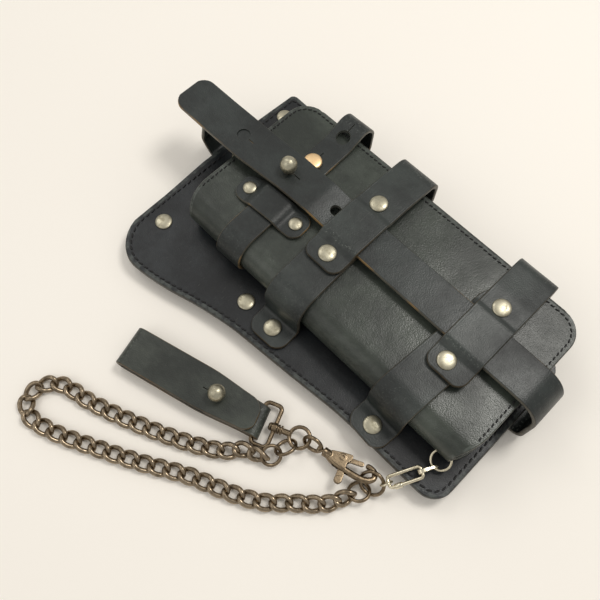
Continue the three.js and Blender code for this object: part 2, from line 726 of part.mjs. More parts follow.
const crossStraps = [
  { name: 'upper', at: upperStrapAt },
  { name: 'lower', at: lowerStrapAt },
];
crossStraps.forEach(({ name, at }, row) => {
  const start = leftRivets[row];
  const cosTurn = Math.cos(radians(start.turn));
  const reach = (x) => (x - start.x) / cosTurn;
  const sideways = (x) => start.y + (x - start.x) * Math.tan(radians(start.turn));
  const middle = (x) => (sideways(x) + at) / 2;
  const left = band({
    corners: [
      [reach(start.x - strapEnd), strapOnPlate],
      [reach(leftOuter), strapOnPlate, 3.6],
      [reach(leftOuter), strapOnWallet, walletThickness * 0.56],
      [reach(longRight + 1.4), strapOnWallet, 1.5],
      [reach(longRight + 2.8), strapOnWallet + outerPinch, 1.5],
      [reach(rivetOuterX + strapEnd), strapOnWallet + outerPinch],
    ],
    thickness: strapThickness,
    edges: evenEdges(strapWidth),
    rounding: [strapWidth / 2, strapWidth / 2],
    x: start.x,
    y: start.y,
    heading: start.turn,
  });
  const rivets = [
    { name: 'inner', x: rivetInnerX, y: middle(rivetInnerX), lift: 0, top: rightOverRivet },
    { name: 'outer', x: rivetOuterX, y: middle(rivetOuterX), lift: outerPinch, top: rightPinch },
  ];
  add(`cross_strap_${name}_left`, cut(left, [
    rivetHole(start.x, start.y, plateFront - 1, plateFront + 5),
    ...rivets.map((place) => rivetHole(place.x, place.y, walletFront, walletFront + 9)),
  ]), leather);
  const right = band({
    corners: [
      [rivetInnerX - strapEnd, rightOverRivet],
      [longLeft - 0.8 - humpRise, rightOverRivet, 2],
      [longLeft - 0.8, rightHump, 2],
      [longRight + 0.4, rightHump, 1.5],
      [longRight + 1.9, rightPinch, 1.5],
      [rivetOuterX + 8, rightPinch, 8],
      [looseEdgeX - 2 * row, walletFront + 4.2, 8],
      [looseEdgeX - 2 * row, plateFront + 9, 9],
      [looseEdgeX - 11 - 2 * row, strapOnFloor, 6],
      [looseEdgeX - 20 - 2 * row, strapOnFloor, 6],
      [returnRivets[row].x + 6, strapUnderPlate, 3],
      [returnRivets[row].x - strapEnd, strapUnderPlate],
    ],
    thickness: strapThickness,
    edges: evenEdges(strapWidth),
    rounding: [strapWidth / 2, strapWidth / 2],
    y: at,
  });
  add(`cross_strap_${name}_right`, cut(right, [
    rivetHole(returnRivets[row].x, returnRivets[row].y, 0, plateBack),
    ...rivets.map((place) => rivetHole(place.x, place.y, walletFront, walletFront + 12)),
  ]), leather);
  for (const place of rivets) {
    const under = strapOnWallet + place.lift - strapThickness / 2;
    const over = place.top + strapThickness / 2;
    add(`rivet_cross_${name}_${place.name}`, rivetGeometry(rivet, place.x, place.y, under, over), rivetMetal);
  }
  const onPlate = strapOnPlate + strapThickness / 2;
  add(`rivet_strap_end_${name}`, rivetGeometry(rivet, start.x, start.y, plateBack, onPlate), rivetMetal);
});
for (const { name, x, y } of returnRivets) {
  const under = plateBack - clearance - strapThickness;
  add(`rivet_${name}`, rivetGeometry(rivet, x, y, under, plateFront), rivetMetal);
}

// Stud tab: from the back of the plate over its top edge, and down the wallet's front under the long strap
const tabEnd = -27;
const tabBulge = 9.5;
const tabUnderPlate = plateBack - clearance - tabThickness / 2;
const tab = band({
  corners: [
    [returnRivets[3].y - strapEnd + 1, tabUnderPlate],
    [plateTop + 3, tabUnderPlate, 3],
    [plateTop + tabBulge, plateFront + 4, 6],
    [plateTop + tabBulge - 5, tabOverClosure - 5, 9],
    [walletTop + 2, tabOverClosure, 14],
    [tabEnd, tabOverClosure],
  ],
  thickness: tabThickness,
  edges: evenEdges(tabWidth),
  rounding: [tabWidth / 2, tabWidth / 2],
  x: longStrapCentre - 1,
  heading: 90,
});
add('stud_tab', cut(tab, [
  rivetHole(returnRivets[3].x, returnRivets[3].y, 0, plateBack),
  rivetHole(longStrapCentre - 1, ballAt, walletFront, longOverTab),
]), leather);

// Long strap: free tip above the belt, over the stud and between the cross straps, round the bottom
const tipY = 73.5;
const longBottomGap = 6.2;
const longBehindShare = 0.4;
const longBottom = plateBottom - longBottomGap;
// Half width and sideways drift along the strap, by the place that they are at
const longShape = [
  { y: tipY, width: 1.08, drift: -4 },
  { y: 20, width: 1.1, drift: -2.6 },
  { y: -8, width: 1.04, drift: -0.8 },
  { y: upperStrapAt + strapWidth / 2, width: 1, drift: 0 },
  { y: longBottom, width: 1, drift: 0 },
];
function longAt(y) {
  const next = Math.max(1, longShape.findIndex((row) => row.y <= y));
  const above = longShape[next - 1];
  const below = longShape[next];
  const share = THREE.MathUtils.clamp((above.y - y) / (above.y - below.y), 0, 1);
  return {
    half: THREE.MathUtils.lerp(above.width, below.width, share) * longStrapWidth / 2,
    drift: THREE.MathUtils.lerp(above.drift, below.drift, share),
  };
}
const longOnStraps = strapOnWallet + strapStep;
const long = band({
  corners: [
    [returnRivets[2].y + strapEnd, strapUnderPlate],
    [returnRivets[2].y - 8, strapUnderPlate, 5],
    [returnRivets[2].y - 20, strapOnFloor, 6],
    [longBottom, strapOnFloor, 5.6],
    [longBottom, longOnStraps, 14],
    [-128, longOnStraps],
    [upperStrapAt + strapWidth / 2 + 1, longOnStraps, 8],
    [tabEnd - 3, longOverTab, 8],
    [20, longOverTab, 30],
    [48, longOverTab + 0.6, 30],
    [tipY, longOverTab + 1.8],
  ],
  thickness: strapThickness,
  edges: (distance, length, point) => {
    const behind = distance < length * longBehindShare;
    const { half, drift } = behind ? { half: longStrapWidth / 2, drift: 0 } : longAt(point.x);
    return [-drift - half, -drift + half];
  },
  rounding: [longStrapWidth / 2, 7.5],
  x: longStrapCentre,
  heading: 90,
});
const longHoles = [ballAt, -41.5, 28];
add('long_strap', cut(long, [
  rivetHole(returnRivets[2].x, returnRivets[2].y, 0, plateBack),
  ...longHoles.flatMap((y, i) => {
    const x = longStrapCentre - (i === 1 ? 0 : 1);
    const hole = drill(x + (i === 2 ? -2 : 0), y, studHole, walletFront, longOverTab + 6);
    const line = slit(x + (i === 2 ? -2 : 0), y, studHole + slitLength, walletFront, longOverTab + 6, -90);
    return i === 1 ? [hole] : [hole, line];
  }),
]), leather);

function ballStud(x, y, under, over) {
  const middle = over + ballRadius * 1.15;
  const arc = [-52, -15, 20, 52].map((angle) => [
    ballRadius * Math.cos(radians(angle)), middle + ballRadius * Math.sin(radians(angle)),
  ]);
  return turned([
    [0, under - rivet.capHeight],
    [rivet.cap, under - rivet.capHeight],
    [rivet.cap, under - headSeat],
    [rivet.post, under - headSeat],
    [rivet.post, over - strapThickness],
    [ballNeck, over],
    ...arc,
    [0, middle + ballRadius],
  ], x, y, 10);
}

add('ball_stud', ballStud(
  longStrapCentre - 1, ballAt, tabOverClosure - tabThickness / 2, longOverTab + strapThickness / 2,
), rivetMetal);

// Loose belt loop: its bottom layer wraps the square ring's bar and ends under the top layer's stud
const looseBarRadius = (looseLayers.second - looseLayers.bottom) / 2;
const looseFoldRadius = (looseLayers.top - looseLayers.bottom) / 2;
const looseWrap = looseBarAt + looseBarRadius;
const looseTurned = (share) => looseSkew * THREE.MathUtils.smoothstep(share, looseOverlap, looseBarAt);
const looseLoopBand = band({
  corners: [
    [looseOverlap, looseLayers.second],
    [looseWrap, looseLayers.second, looseBarRadius - 0.01],
    [looseWrap, looseLayers.bottom, looseBarRadius - 0.01],
    [0, looseLayers.bottom, looseFoldRadius - 0.01],
    [0, looseLayers.top, looseFoldRadius - 0.01],
    [looseTopEnd, looseLayers.top],
  ],
  thickness: looseLoop.thickness,
  edges: (distance, length, point) => {
    const narrowing = THREE.MathUtils.smoothstep(point.x, looseOverlap, looseBarAt);
    const half = THREE.MathUtils.lerp(looseLoop.width, looseLoop.neck, narrowing) / 2;
    return [-half, half];
  },
  rounding: [looseLoop.width / 2, looseLoop.neck / 2],
  x: looseLoop.x,
  y: looseLoop.y,
  heading: looseLoop.heading,
  skew: looseTurned,
});
const looseHeading = radians(looseLoop.heading);
const looseAlong = new THREE.Vector2(Math.cos(looseHeading), Math.sin(looseHeading));
const looseStud = {
  x: looseLoop.x + looseAlong.x * looseStudAt,
  y: looseLoop.y + looseAlong.y * looseStudAt,
};
const looseHoleLow = looseLayers.bottom + looseLoop.thickness;
const looseHoleHigh = looseLayers.top + looseLoop.thickness;
addLoose('side_loop', cut(looseLoopBand, [
  drill(looseStud.x, looseStud.y, ballNeck + rivetHoleClearance, looseHoleLow, looseHoleHigh),
  slit(
    looseStud.x, looseStud.y, studHole + slitLength, looseLayers.top - 1, looseHoleHigh, looseLoop.heading + 180,
  ),
]), leather);
addLoose('side_loop_stud', ballStud(
  looseStud.x,
  looseStud.y,
  looseLayers.second - looseLoop.thickness / 2,
  looseLayers.top + looseLoop.thickness / 2,
), rivetMetal);

// Square ring: one long side lies in the loose loop's fold, the other carries the swivel's hub
const barHeight = (looseLayers.bottom + looseLayers.second) / 2;
const ringPitch = THREE.MathUtils.radToDeg(Math.asin((squareRing.height - barHeight) / squareRing.short));
const bar = {
  x: looseLoop.x + looseAlong.x * looseBarAt,
  y: looseLoop.y + looseAlong.y * looseBarAt,
};
const halfLong = squareRing.long / 2;
const squareLine = roundedLine([
  [0, 0],
  [0, halfLong, squareRing.corner],
  [squareRing.short, halfLong, squareRing.corner],
  [squareRing.short, -halfLong, squareRing.corner],
  [0, -halfLong, squareRing.corner],
  [0, -1],
], Math.PI / 5);
const squareWire = flatBar(squareLine.map((point) => ({
  u: point.x, v: point.y, across: squareRing.wire, deep: squareRing.wire,
})), 6, true);
const hub = spindle([
  [0, -squareRing.hubLength / 2], [squareRing.hub, -squareRing.hubLength / 2],
  [squareRing.hub, squareRing.hubLength / 2], [0, squareRing.hubLength / 2],
]).translate(squareRing.short, 0, 0);
const hubHole = spindle([
  [0, -squareRing.hubLength], [postRadius + pinClearance, -squareRing.hubLength],
  [postRadius + pinClearance, squareRing.hubLength], [0, squareRing.hubLength],
]).translate(squareRing.short, 0, 0);
const squarePlace = { ...bar, z: barHeight, heading: squareRing.heading, pitch: ringPitch };
addLoose('square_ring', placed(cut(join([squareWire, hub]), [hubHole]), squarePlace), antique);

// Swivel: its post turns in the square ring's hub, with a head inside the ring and two washers outside
const squareAlong = radians(squareRing.heading);
const hubCentre = {
  x: bar.x + squareRing.short * Math.cos(radians(ringPitch)) * Math.cos(squareAlong),
  y: bar.y + squareRing.short * Math.cos(radians(ringPitch)) * Math.sin(squareAlong),
  z: squareRing.height,
};
const hubHalf = squareRing.hubLength / 2;
const washer = 0.8;
const neckRadius = 1.6;
const swivelPost = spindle([
  [0, -hubHalf - clearance - 2 * washer],
  [2 * postRadius, -hubHalf - clearance - washer],
  [2 * postRadius, -hubHalf - clearance],
  [postRadius, -hubHalf - clearance],
  [postRadius, hubHalf + clearance],
  [squareRing.hub, hubHalf + clearance],
  [squareRing.hub, hubHalf + clearance + washer],
  [neckRadius, hubHalf + clearance + washer],
  [neckRadius, hubHalf + clearance + 2 * washer],
  [squareRing.hub, hubHalf + clearance + 2 * washer],
  [squareRing.hub, hubHalf + clearance + 3 * washer],
  [neckRadius, hubHalf + clearance + 3 * washer],
  [neckRadius, eyeReach - eyeRadius],
  [0, eyeReach - eyeRadius],
]);
const swivelEye = loop(eyeRadius, eyeRadius, wireRadius).translate(eyeReach, 0, 0);
const swivelPlace = { ...hubCentre, heading: squareRing.heading, ...swivel };
addLoose('swivel_eye', placed(join([swivelPost, swivelEye]), swivelPlace), antique);

for (const { name, x, y, z, radius, tilt, raised, gap } of rings) {
  const ring = loop(radius, radius, ringRadius, { gap, start: -90 });
  addLoose(name, placed(ring, { x, y, z, heading: raised, pitch: tilt }), antique);
}

// Snap hook: eye, body and the lever that closes its mouth
const collarFrom = -0.9;
const collarTo = 4;
const collarRadius = 2.6;
const postEnd = 2;
const eyePost = spindle([
  [0, -hookEye.reach + hookEye.along - 2.2],
  [1.9, -hookEye.reach + hookEye.along - 1.6],
  [1.9, -hookEye.reach + hookEye.along - 0.6],
  [postRadius, -hookEye.reach + hookEye.along],
  [postRadius, postEnd],
  [0, postEnd],
]);
const eyeLoop = loop(hookEye.across, hookEye.along, wireRadius).translate(-hookEye.reach, 0, 0);
addLoose('hook_eye', placed(join([eyePost, eyeLoop]), { ...hook, roll: hookEye.roll }), antique);

const plate = (outline, depth) => new THREE.ExtrudeGeometry(
  new THREE.Shape(outline.map(([u, v]) => new THREE.Vector2(u, v))),
  { depth, bevelEnabled: false },
).translate(0, 0, -depth / 2);
const upright = (place, radius, depth, sides = 12) => new THREE.CylinderGeometry(radius, radius, depth, sides)
  .rotateX(Math.PI / 2).translate(place.u, place.v, 0);
const collar = spindle([
  [0, collarFrom], [collarRadius, collarFrom], [collarRadius, collarTo], [0, collarTo],
]);
const collarHole = spindle([
  [0, collarFrom - 1],
  [postRadius + pinClearance, collarFrom - 1],
  [postRadius + pinClearance, postEnd + pinClearance],
  [0, postEnd + pinClearance],
]);
const slot = new THREE.BoxGeometry(hookSlotTo - hookSlotFrom, 30, hookSlot)
  .translate((hookSlotFrom + hookSlotTo) / 2, 0, 0);
const hookFrame = cut(join([flatBar(hookBar), plate(hookWeb, hookWebDepth), collar]), [collarHole, slot]);
const hookPinSolid = upright(hookPin, postRadius, hookWebDepth - hookPinShort, 10);
addLoose('hook_body', placed(join([hookFrame, hookPinSolid]), hook), antique);

const arm = (end, width) => {
  const on = new THREE.Vector2(end.u - hookPin.u, end.v - hookPin.v).normalize();
  const side = new THREE.Vector2(-on.y, on.x).multiplyScalar(width / 2);
  return plate([
    [hookPin.u - side.x, hookPin.v - side.y],
    [end.u - side.x, end.v - side.y],
    [end.u + side.x, end.v + side.y],
    [hookPin.u + side.x, hookPin.v + side.y],
  ], leverThickness);
};
const lever = cut(join([
  upright(hookPin, leverBoss, leverThickness),
  arm(gateArm, gateArm.width),
  arm(thumbArm, thumbArm.width),
  upright(thumbArm, thumbArm.knob, leverThickness + 0.4, 10),
]), [upright(hookPin, postRadius + pinClearance, leverThickness + 2, 10)]);
addLoose('hook_lever', placed(lever, hook), antique);

// Chain: links twisted a quarter turn from end to end, each one's end lying through the next one's
const routeCurve = new THREE.CatmullRomCurve3(chainRoute.map(([x, y]) => new THREE.Vector3(x, y, 0)));
routeCurve.arcLengthDivisions = 1000;
const centres = routeCurve.getSpacedPoints(linkCount - 1);
const linkPitch = routeCurve.getLength() / (linkCount - 1);
const halfStep = Math.PI / link.points;
const linkLength = ((linkPitch - link.overlap) / 2 + link.wire) / Math.cos(halfStep);
function chainLink() {
  const points = Array.from({ length: link.points }, (_, i) => {
    const angle = 2 * Math.PI * i / link.points + halfStep;
    const twist = radians(link.twist) * Math.cos(angle);
    return new THREE.Vector3(
      linkLength * Math.cos(angle),
      link.across * Math.sin(angle) * Math.cos(twist),
      link.across * Math.sin(angle) * Math.sin(twist),
    );
  });
  return wire(points, link.wire, link.sides);
}
const lastLink = linkCount - 1;
const links = centres.map((centre, i) => {
  const onward = centres[Math.min(i + 1, lastLink)].clone().sub(centres[Math.max(i - 1, 0)]);
  const atStart = Math.max(0, 1 - i / chainEndLinks);
  const atFinish = Math.max(0, 1 - (lastLink - i) / chainEndLinks);
  return placed(chainLink(), {
    x: centre.x,
    y: centre.y,
    z: chainHeight
      + atStart * (chainStart.height - chainHeight)
      + atFinish * (chainFinish.height - chainHeight),
    heading: THREE.MathUtils.radToDeg(Math.atan2(onward.y, onward.x)),
    roll: atFinish * chainFinish.roll - atStart * chainStart.roll,
  });
});
addLoose('chain', join(links), bronze);

// Wallet's ring, through a hole in the fold, and the clip that hangs on it
add('wallet_ring', walletLoop(walletRing.wire), nickel);

const clipX = clip.x + looseShift;
const clipRun = Math.hypot(clip.endX - clipX, clip.endY - clip.y);
const clipRise = clip.endZ - clip.z;
const clipHeading = THREE.MathUtils.radToDeg(Math.atan2(clip.endY - clip.y, clip.endX - clipX));
const clipLine = roundedLine([
  [0, 0],
  [0, clip.half, 1.6],
  [Math.hypot(clipRun, clipRise), clip.half, 1.6],
  [Math.hypot(clipRun, clipRise), -clip.half, 1.6],
  [0, -clip.half, 1.6],
  [0, -1],
], Math.PI / 5);
const clipWire = flatBar(clipLine.map((point) => ({
  u: point.x, v: point.y, across: clip.wire, deep: clip.wire,
})), 6, true);
const barrel = new THREE.CylinderGeometry(clipBarrel.radius, clipBarrel.radius, clipBarrel.length, 8)
  .rotateZ(Math.PI / 2).translate(clipBarrel.at, -clip.half, 0);
const clipPitch = THREE.MathUtils.radToDeg(Math.atan2(clipRise, clipRun));
const clipPlace = { ...clip, x: clipX, heading: clipHeading, pitch: clipPitch };
add('clip_frame', placed(join([clipWire, barrel]), clipPlace), nickel);

// Small ring that joins the clip's frame to the hook's larger ring
const clipRingBack = clipRing.setBack * Math.cos(radians(clipRing.pitch));
add('clip_ring', placed(loop(clipRing.radius, clipRing.radius, clipRing.wire), {
  x: clipX - clipRingBack * Math.cos(radians(clipHeading)),
  y: clip.y - clipRingBack * Math.sin(radians(clipHeading)),
  z: clip.z - clipRing.setBack * Math.sin(radians(clipRing.pitch)),
  heading: clipHeading,
  pitch: clipRing.pitch,
  roll: clipRing.roll,
}), nickel);

// The clip's tongue: a strip that wraps the frame's end bar and hooks down over the wallet's ring
const ringLeft = {
  x: walletRing.x - walletRing.radius * Math.cos(radians(walletRing.tilt)),
  z: walletRing.z - walletRing.radius * Math.sin(radians(walletRing.tilt)),
};
const tongueRun = Math.hypot(ringLeft.x - clip.endX, walletRing.y - clip.endY);
const aroundFrame = clip.wire + 2 * clearance + tongue.thickness / 2;
const aroundRing = walletRing.wire + 3 * clearance + tongue.thickness / 2;
add('clip_tongue', band({
  corners: [
    [1.4, clip.endZ - aroundFrame],
    [-aroundFrame, clip.endZ - aroundFrame, aroundFrame - 0.01],
    [-aroundFrame, clip.endZ + aroundFrame, aroundFrame - 0.01],
    [2.6, clip.endZ + aroundFrame, 2],
    [tongueRun - 1.2, ringLeft.z + aroundRing, 1],
    [tongueRun + aroundRing, ringLeft.z + aroundRing, aroundRing - 0.01],
    [tongueRun + aroundRing, ringLeft.z - 2],
  ],
  thickness: tongue.thickness,
  edges: (distance, length) => {
    const half = THREE.MathUtils.lerp(tongue.width, tongue.tip, distance / length) / 2;
    return [-half, half];
  },
  x: clip.endX,
  y: clip.endY,
  heading: THREE.MathUtils.radToDeg(Math.atan2(walletRing.y - clip.endY, ringLeft.x - clip.endX)),
}), nickel);

export default pouch;
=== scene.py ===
"""Looks of the leather belt pouch: detailed leather, stitches, rivets, rings, snap hook and curb chain."""

import math

import bmesh
import bpy
from mathutils import Euler, Matrix, Vector, noise


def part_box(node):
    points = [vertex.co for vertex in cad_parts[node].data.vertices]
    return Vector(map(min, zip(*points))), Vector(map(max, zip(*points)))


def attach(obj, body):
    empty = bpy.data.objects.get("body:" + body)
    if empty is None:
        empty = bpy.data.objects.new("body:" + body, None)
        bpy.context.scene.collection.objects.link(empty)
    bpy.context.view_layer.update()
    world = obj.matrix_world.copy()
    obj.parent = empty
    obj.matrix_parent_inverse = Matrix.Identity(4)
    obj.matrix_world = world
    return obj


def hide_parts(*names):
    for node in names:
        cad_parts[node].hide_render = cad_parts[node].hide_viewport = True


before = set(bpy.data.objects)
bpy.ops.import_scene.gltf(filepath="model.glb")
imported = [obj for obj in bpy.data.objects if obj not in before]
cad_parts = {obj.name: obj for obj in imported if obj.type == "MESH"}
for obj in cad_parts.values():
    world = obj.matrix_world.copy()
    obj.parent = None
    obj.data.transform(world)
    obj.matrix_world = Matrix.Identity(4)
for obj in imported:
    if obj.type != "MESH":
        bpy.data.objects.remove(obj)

bl_info = {
    "name": "Belt Pouch Looks",
    "version": (1, 0, 0),
    "blender": (4, 5, 0),
    "location": "3D View > Sidebar > Belt Pouch",
    "description": "Builds the detailed leather, stitching and metal of a belt pouch",
    "category": "Object",
}

# Heights of the layers above the floor, in millimetres, as in the solids
MM = 0.001
FLOOR = 7.0
PLATE_BACK = 7.0
PLATE_THICKNESS = 3.6
PLATE_FRONT = PLATE_BACK + PLATE_THICKNESS
WALLET_BACK = 13.2
WALLET_FRONT = 35.2
WALLET_FOLD = -34.0
WALLET_OPEN = 64.0
WALLET_TOP = 27.0
WALLET_BOTTOM = -177.0
STRAP = 2.6
STRAP_ON_PLATE = PLATE_FRONT + 0.3 + STRAP / 2
STRAP_ON_WALLET = WALLET_FRONT + 1.1 + STRAP / 2
STRAP_STEP = STRAP + 0.3
STRAP_UNDER_PLATE = PLATE_BACK - 0.3 - STRAP / 2
STRAP_ON_FLOOR = STRAP / 2
RIGHT_OVER_RIVET = STRAP_ON_WALLET + STRAP_STEP
RIGHT_HUMP = RIGHT_OVER_RIVET + STRAP_STEP
CLOSURE = 2.0
CLOSURE_FRONT = WALLET_FRONT + 0.3 + CLOSURE / 2
CLOSURE_BACK = WALLET_BACK - 0.3 - CLOSURE / 2
TAB = 2.4
TAB_OVER_CLOSURE = CLOSURE_FRONT + CLOSURE / 2 + 1.1 + TAB / 2
LONG_OVER_TAB = TAB_OVER_CLOSURE + TAB / 2 + 0.3 + STRAP / 2
PLATE_TOP = 51.0
PLATE_BOTTOM = -182.5
PLATE_HALF = 75.0


# Smooth paths and leather bands

def rounded_line(corners, step=math.radians(7)):
    """Points along corners (a, b, radius), each corner rounded by its radius."""
    line = []
    for index, corner in enumerate(corners):
        a, b = corner[:2]
        radius = corner[2] if len(corner) > 2 else 0
        here = Vector((a, b))
        if not radius or index in (0, len(corners) - 1):
            line.append(here)
            continue
        back = (Vector(corners[index - 1][:2]) - here).normalized()
        on = (Vector(corners[index + 1][:2]) - here).normalized()
        turn = math.pi - math.acos(max(-1, min(1, back.dot(on))))
        start = here + back * radius * math.tan(turn / 2)
        centre = here + (back + on).normalized() * radius / math.cos(turn / 2)
        side = -1 if back.x * on.y - back.y * on.x > 0 else 1
        steps = max(1, math.ceil(turn / step))
        for k in range(steps + 1):
            line.append(centre + Matrix.Rotation(side * turn * k / steps, 2) @ (start - centre))
    return line


def resampled(line, spacing):
    """The line as evenly spaced points, with its ends kept."""
    lengths = [0.0]
    for a, b in zip(line, line[1:]):
        lengths.append(lengths[-1] + (b - a).length)
    count = max(2, round(lengths[-1] / spacing))
    points = []
    i = 1
    for k in range(count + 1):
        at = lengths[-1] * k / count
        while i < len(lengths) - 1 and lengths[i] < at:
            i += 1
        share = (at - lengths[i - 1]) / max(1e-9, lengths[i] - lengths[i - 1])
        points.append(line[i - 1].lerp(line[i], min(1, max(0, share))))
    return points


def softened(line, rounds):
    """The line with its bends eased, its ends kept."""
    for _ in range(rounds):
        line = [line[0]] + [
            line[i] * 0.5 + (line[i - 1] + line[i + 1]) * 0.25 for i in range(1, len(line) - 1)
        ] + [line[-1]]
    return line


def corner_inset(distance, radius):
    """How far a round corner draws an edge in, at a distance from the sheet's end."""
    if distance >= radius:
        return 0.0
    return radius - math.sqrt(max(0.0, radius ** 2 - (radius - distance) ** 2))


def edge_distance(start, end, left, right, rounding):
    """How far a point of a sheet is from the sheet's edge, with its round corners."""
    nearest = min(start, end, left, right)
    for along, radius in ((start, rounding[0]), (end, rounding[1])):
        for across in (left, right):
            if along < radius and across < radius:
                nearest = min(nearest, radius - math.hypot(radius - along, radius - across))
    return max(0.0, nearest)


def mesh_object(name, points, faces, material, attributes=None):
    """A mesh object from points in millimetres above the floor, with float attributes."""
    mesh = bpy.data.meshes.new(name)
    mesh.from_pydata([(x * MM, y * MM, (z - FLOOR) * MM) for x, y, z in points], [], faces)
    for key, values in (attributes or {}).items():
        layer = mesh.attributes.new(key, "FLOAT", "POINT")
        layer.data.foreach_set("value", values)
    work = bmesh.new()
    work.from_mesh(mesh)
    bmesh.ops.recalc_face_normals(work, faces=work.faces)
    work.to_mesh(mesh)
    work.free()
    mesh.shade_smooth()
    mesh.materials.append(material)
    piece = bpy.data.objects.new(name, mesh)
    bpy.context.scene.collection.objects.link(piece)
    return piece


def band_mesh(corners, thickness, edges, rounding=(0, 0), x=0.0, y=0.0, heading=0.0, skew=None,
              spacing=1.2, columns=8, soften=2, wave=0.08, rim=0.55, seed=0.0, dense=None):
    """Points, faces and attributes of a leather band along corners in the plane of length and height."""
    path = softened(resampled(rounded_line(corners), 0.6), soften)
    path = resampled(path, spacing)
    step = []
    total = 0.0
    for a, b in zip(path, path[1:]):
        step.append(total)
        total += (b - a).length
    step.append(total)

    def at(distance):
        i = 1
        while i < len(step) - 1 and step[i] < distance:
            i += 1
        share = (distance - step[i - 1]) / (step[i] - step[i - 1])
        tangent = (path[min(len(path) - 1, i + 1)] - path[max(0, i - 2)]).normalized()
        return path[i - 1].lerp(path[i], min(1, max(0, share))), tangent

    ends = [0, 0.02, 0.08, 0.18, 0.32, 0.5, 0.7]
    near, far = dense or rounding
    stations = list(step)
    for share in ends:
        stations += [share * near, total - share * far]
    stations += [rim * s for s in (0, 0.12, 0.4, 0.8)] + [total - rim * s for s in (0, 0.12, 0.4, 0.8)]
    stations = sorted(min(total, max(0, s)) for s in stations)
    kept = [stations[0]]
    for s in stations:
        if s - kept[-1] > 0.05:
            kept.append(s)
    kept[-1] = total
    turn = math.radians(heading)
    cos, sin = math.cos(turn), math.sin(turn)
    points, faces, edge, side, bend = [], [], [], [], []
    arcs = [math.radians(angle) for angle in (90, 60, 30, 0, -30, -60, -90)]
    for s in kept:
        point, tangent = at(s)
        before, after = at(max(0, s - 1.6))[1], at(min(total, s + 1.6))[1]
        # How sharply the band bends convex here; the leather paints glare specks and wear on such bends
        bent = min(1.0, max(0.0, (before.y * after.x - before.x * after.y - 0.2) / 0.35))
        low, high = edges(s, total, point.x)
        outer = (low, high)
        drawn = corner_inset(s, rounding[0]) + corner_inset(total - s, rounding[1])
        drawn = min(drawn, 0.46 * (high - low))
        low, high = low + drawn, high - drawn
        near_end = min(s, total - s)
        full = 1.0 if near_end >= rim else math.sqrt(max(0.0, 1 - (1 - near_end / rim) ** 2))
        half = thickness / 2 * max(0.3, full)
        small = min(rim, 0.3 * (high - low), half)
        ring = []
        inner = high - low - 2 * small
        margin = min(0.3 / inner, 0.5 / columns)
        shares = [0, margin] + [k / columns for k in range(1, columns)] + [1 - margin, 1]
        for share in shares:
            ring.append((high - small - inner * share, half, None))
        for angle in arcs[1:-1]:
            ring.append((low + small - small * math.cos(angle), half * math.sin(angle), 1))
        for share in shares:
            ring.append((low + small + inner * share, -half, None))
        for angle in reversed(arcs[1:-1]):
            ring.append((high - small + small * math.cos(angle), half * math.sin(angle), 1))
        for across, off, round_side in ring:
            spot = Vector((point.x * 0.05 + seed, across * 0.07, seed * 3 + point.y * 0.05))
            lift = wave * noise.noise(spot)
            a = point.x - tangent.y * (off + lift) + (skew(point.x) * across if skew else 0)
            z = point.y + tangent.x * (off + lift)
            points.append((x + a * cos - across * sin, y + a * sin + across * cos, z))
            edge.append(edge_distance(s, total - s, across - outer[0], outer[1] - across, rounding))
            side.append(1.0 if round_side or near_end < rim * 0.5 else 0.0)
            bend.append(bent)
    size = len(points) // len(kept)
    for row in range(len(kept) - 1):
        for k in range(size):
            on = (k + 1) % size
            faces.append((row * size + k, row * size + on, (row + 1) * size + on, (row + 1) * size + k))
    faces.append(tuple(range(size)))
    faces.append(tuple((len(kept) - 1) * size + k for k in range(size)))
    return points, faces, {"edge": edge, "rim": side, "bend": bend}


def band(name, material, holes=(), slot="leather", **shape):
    """A leather band as one object, with its holes cut, that replaces the solid of the same place."""
    points, faces, attributes = band_mesh(**shape)
    piece = mesh_object(name + "_leather", points, faces, material, attributes)
    for tool in holes:
        carve(piece, tool)
    piece.data.shade_smooth()
    piece.data.set_sharp_from_angle(angle=math.radians(50))
    finished(piece, name)
    return piece


def even(width):
    """Both edges of a band of one width."""
    return lambda distance, total, a: (-width / 2, width / 2)


def finished(piece, nodes, body="root"):
    """Marks a piece as standing for its solids, riding on a body."""
    nodes = [nodes] if isinstance(nodes, str) else list(nodes)
    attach(piece, body)
    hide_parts(*nodes)


def applied(piece):
    """Turns a piece's modifiers into its plain mesh."""
    graph = bpy.context.evaluated_depsgraph_get()
    graph.update()
    mesh = bpy.data.meshes.new_from_object(piece.evaluated_get(graph))
    old = piece.data
    piece.modifiers.clear()
    piece.data = mesh
    bpy.data.meshes.remove(old)
    return piece


def carve(piece, tool):
    """Cuts a tool mesh out of a piece and removes the tool."""
    modifier = piece.modifiers.new("cut", "BOOLEAN")
    modifier.operation = "DIFFERENCE"
    modifier.solver = "EXACT"
    modifier.object = tool
    applied(piece)
    bpy.data.objects.remove(tool)
    return piece


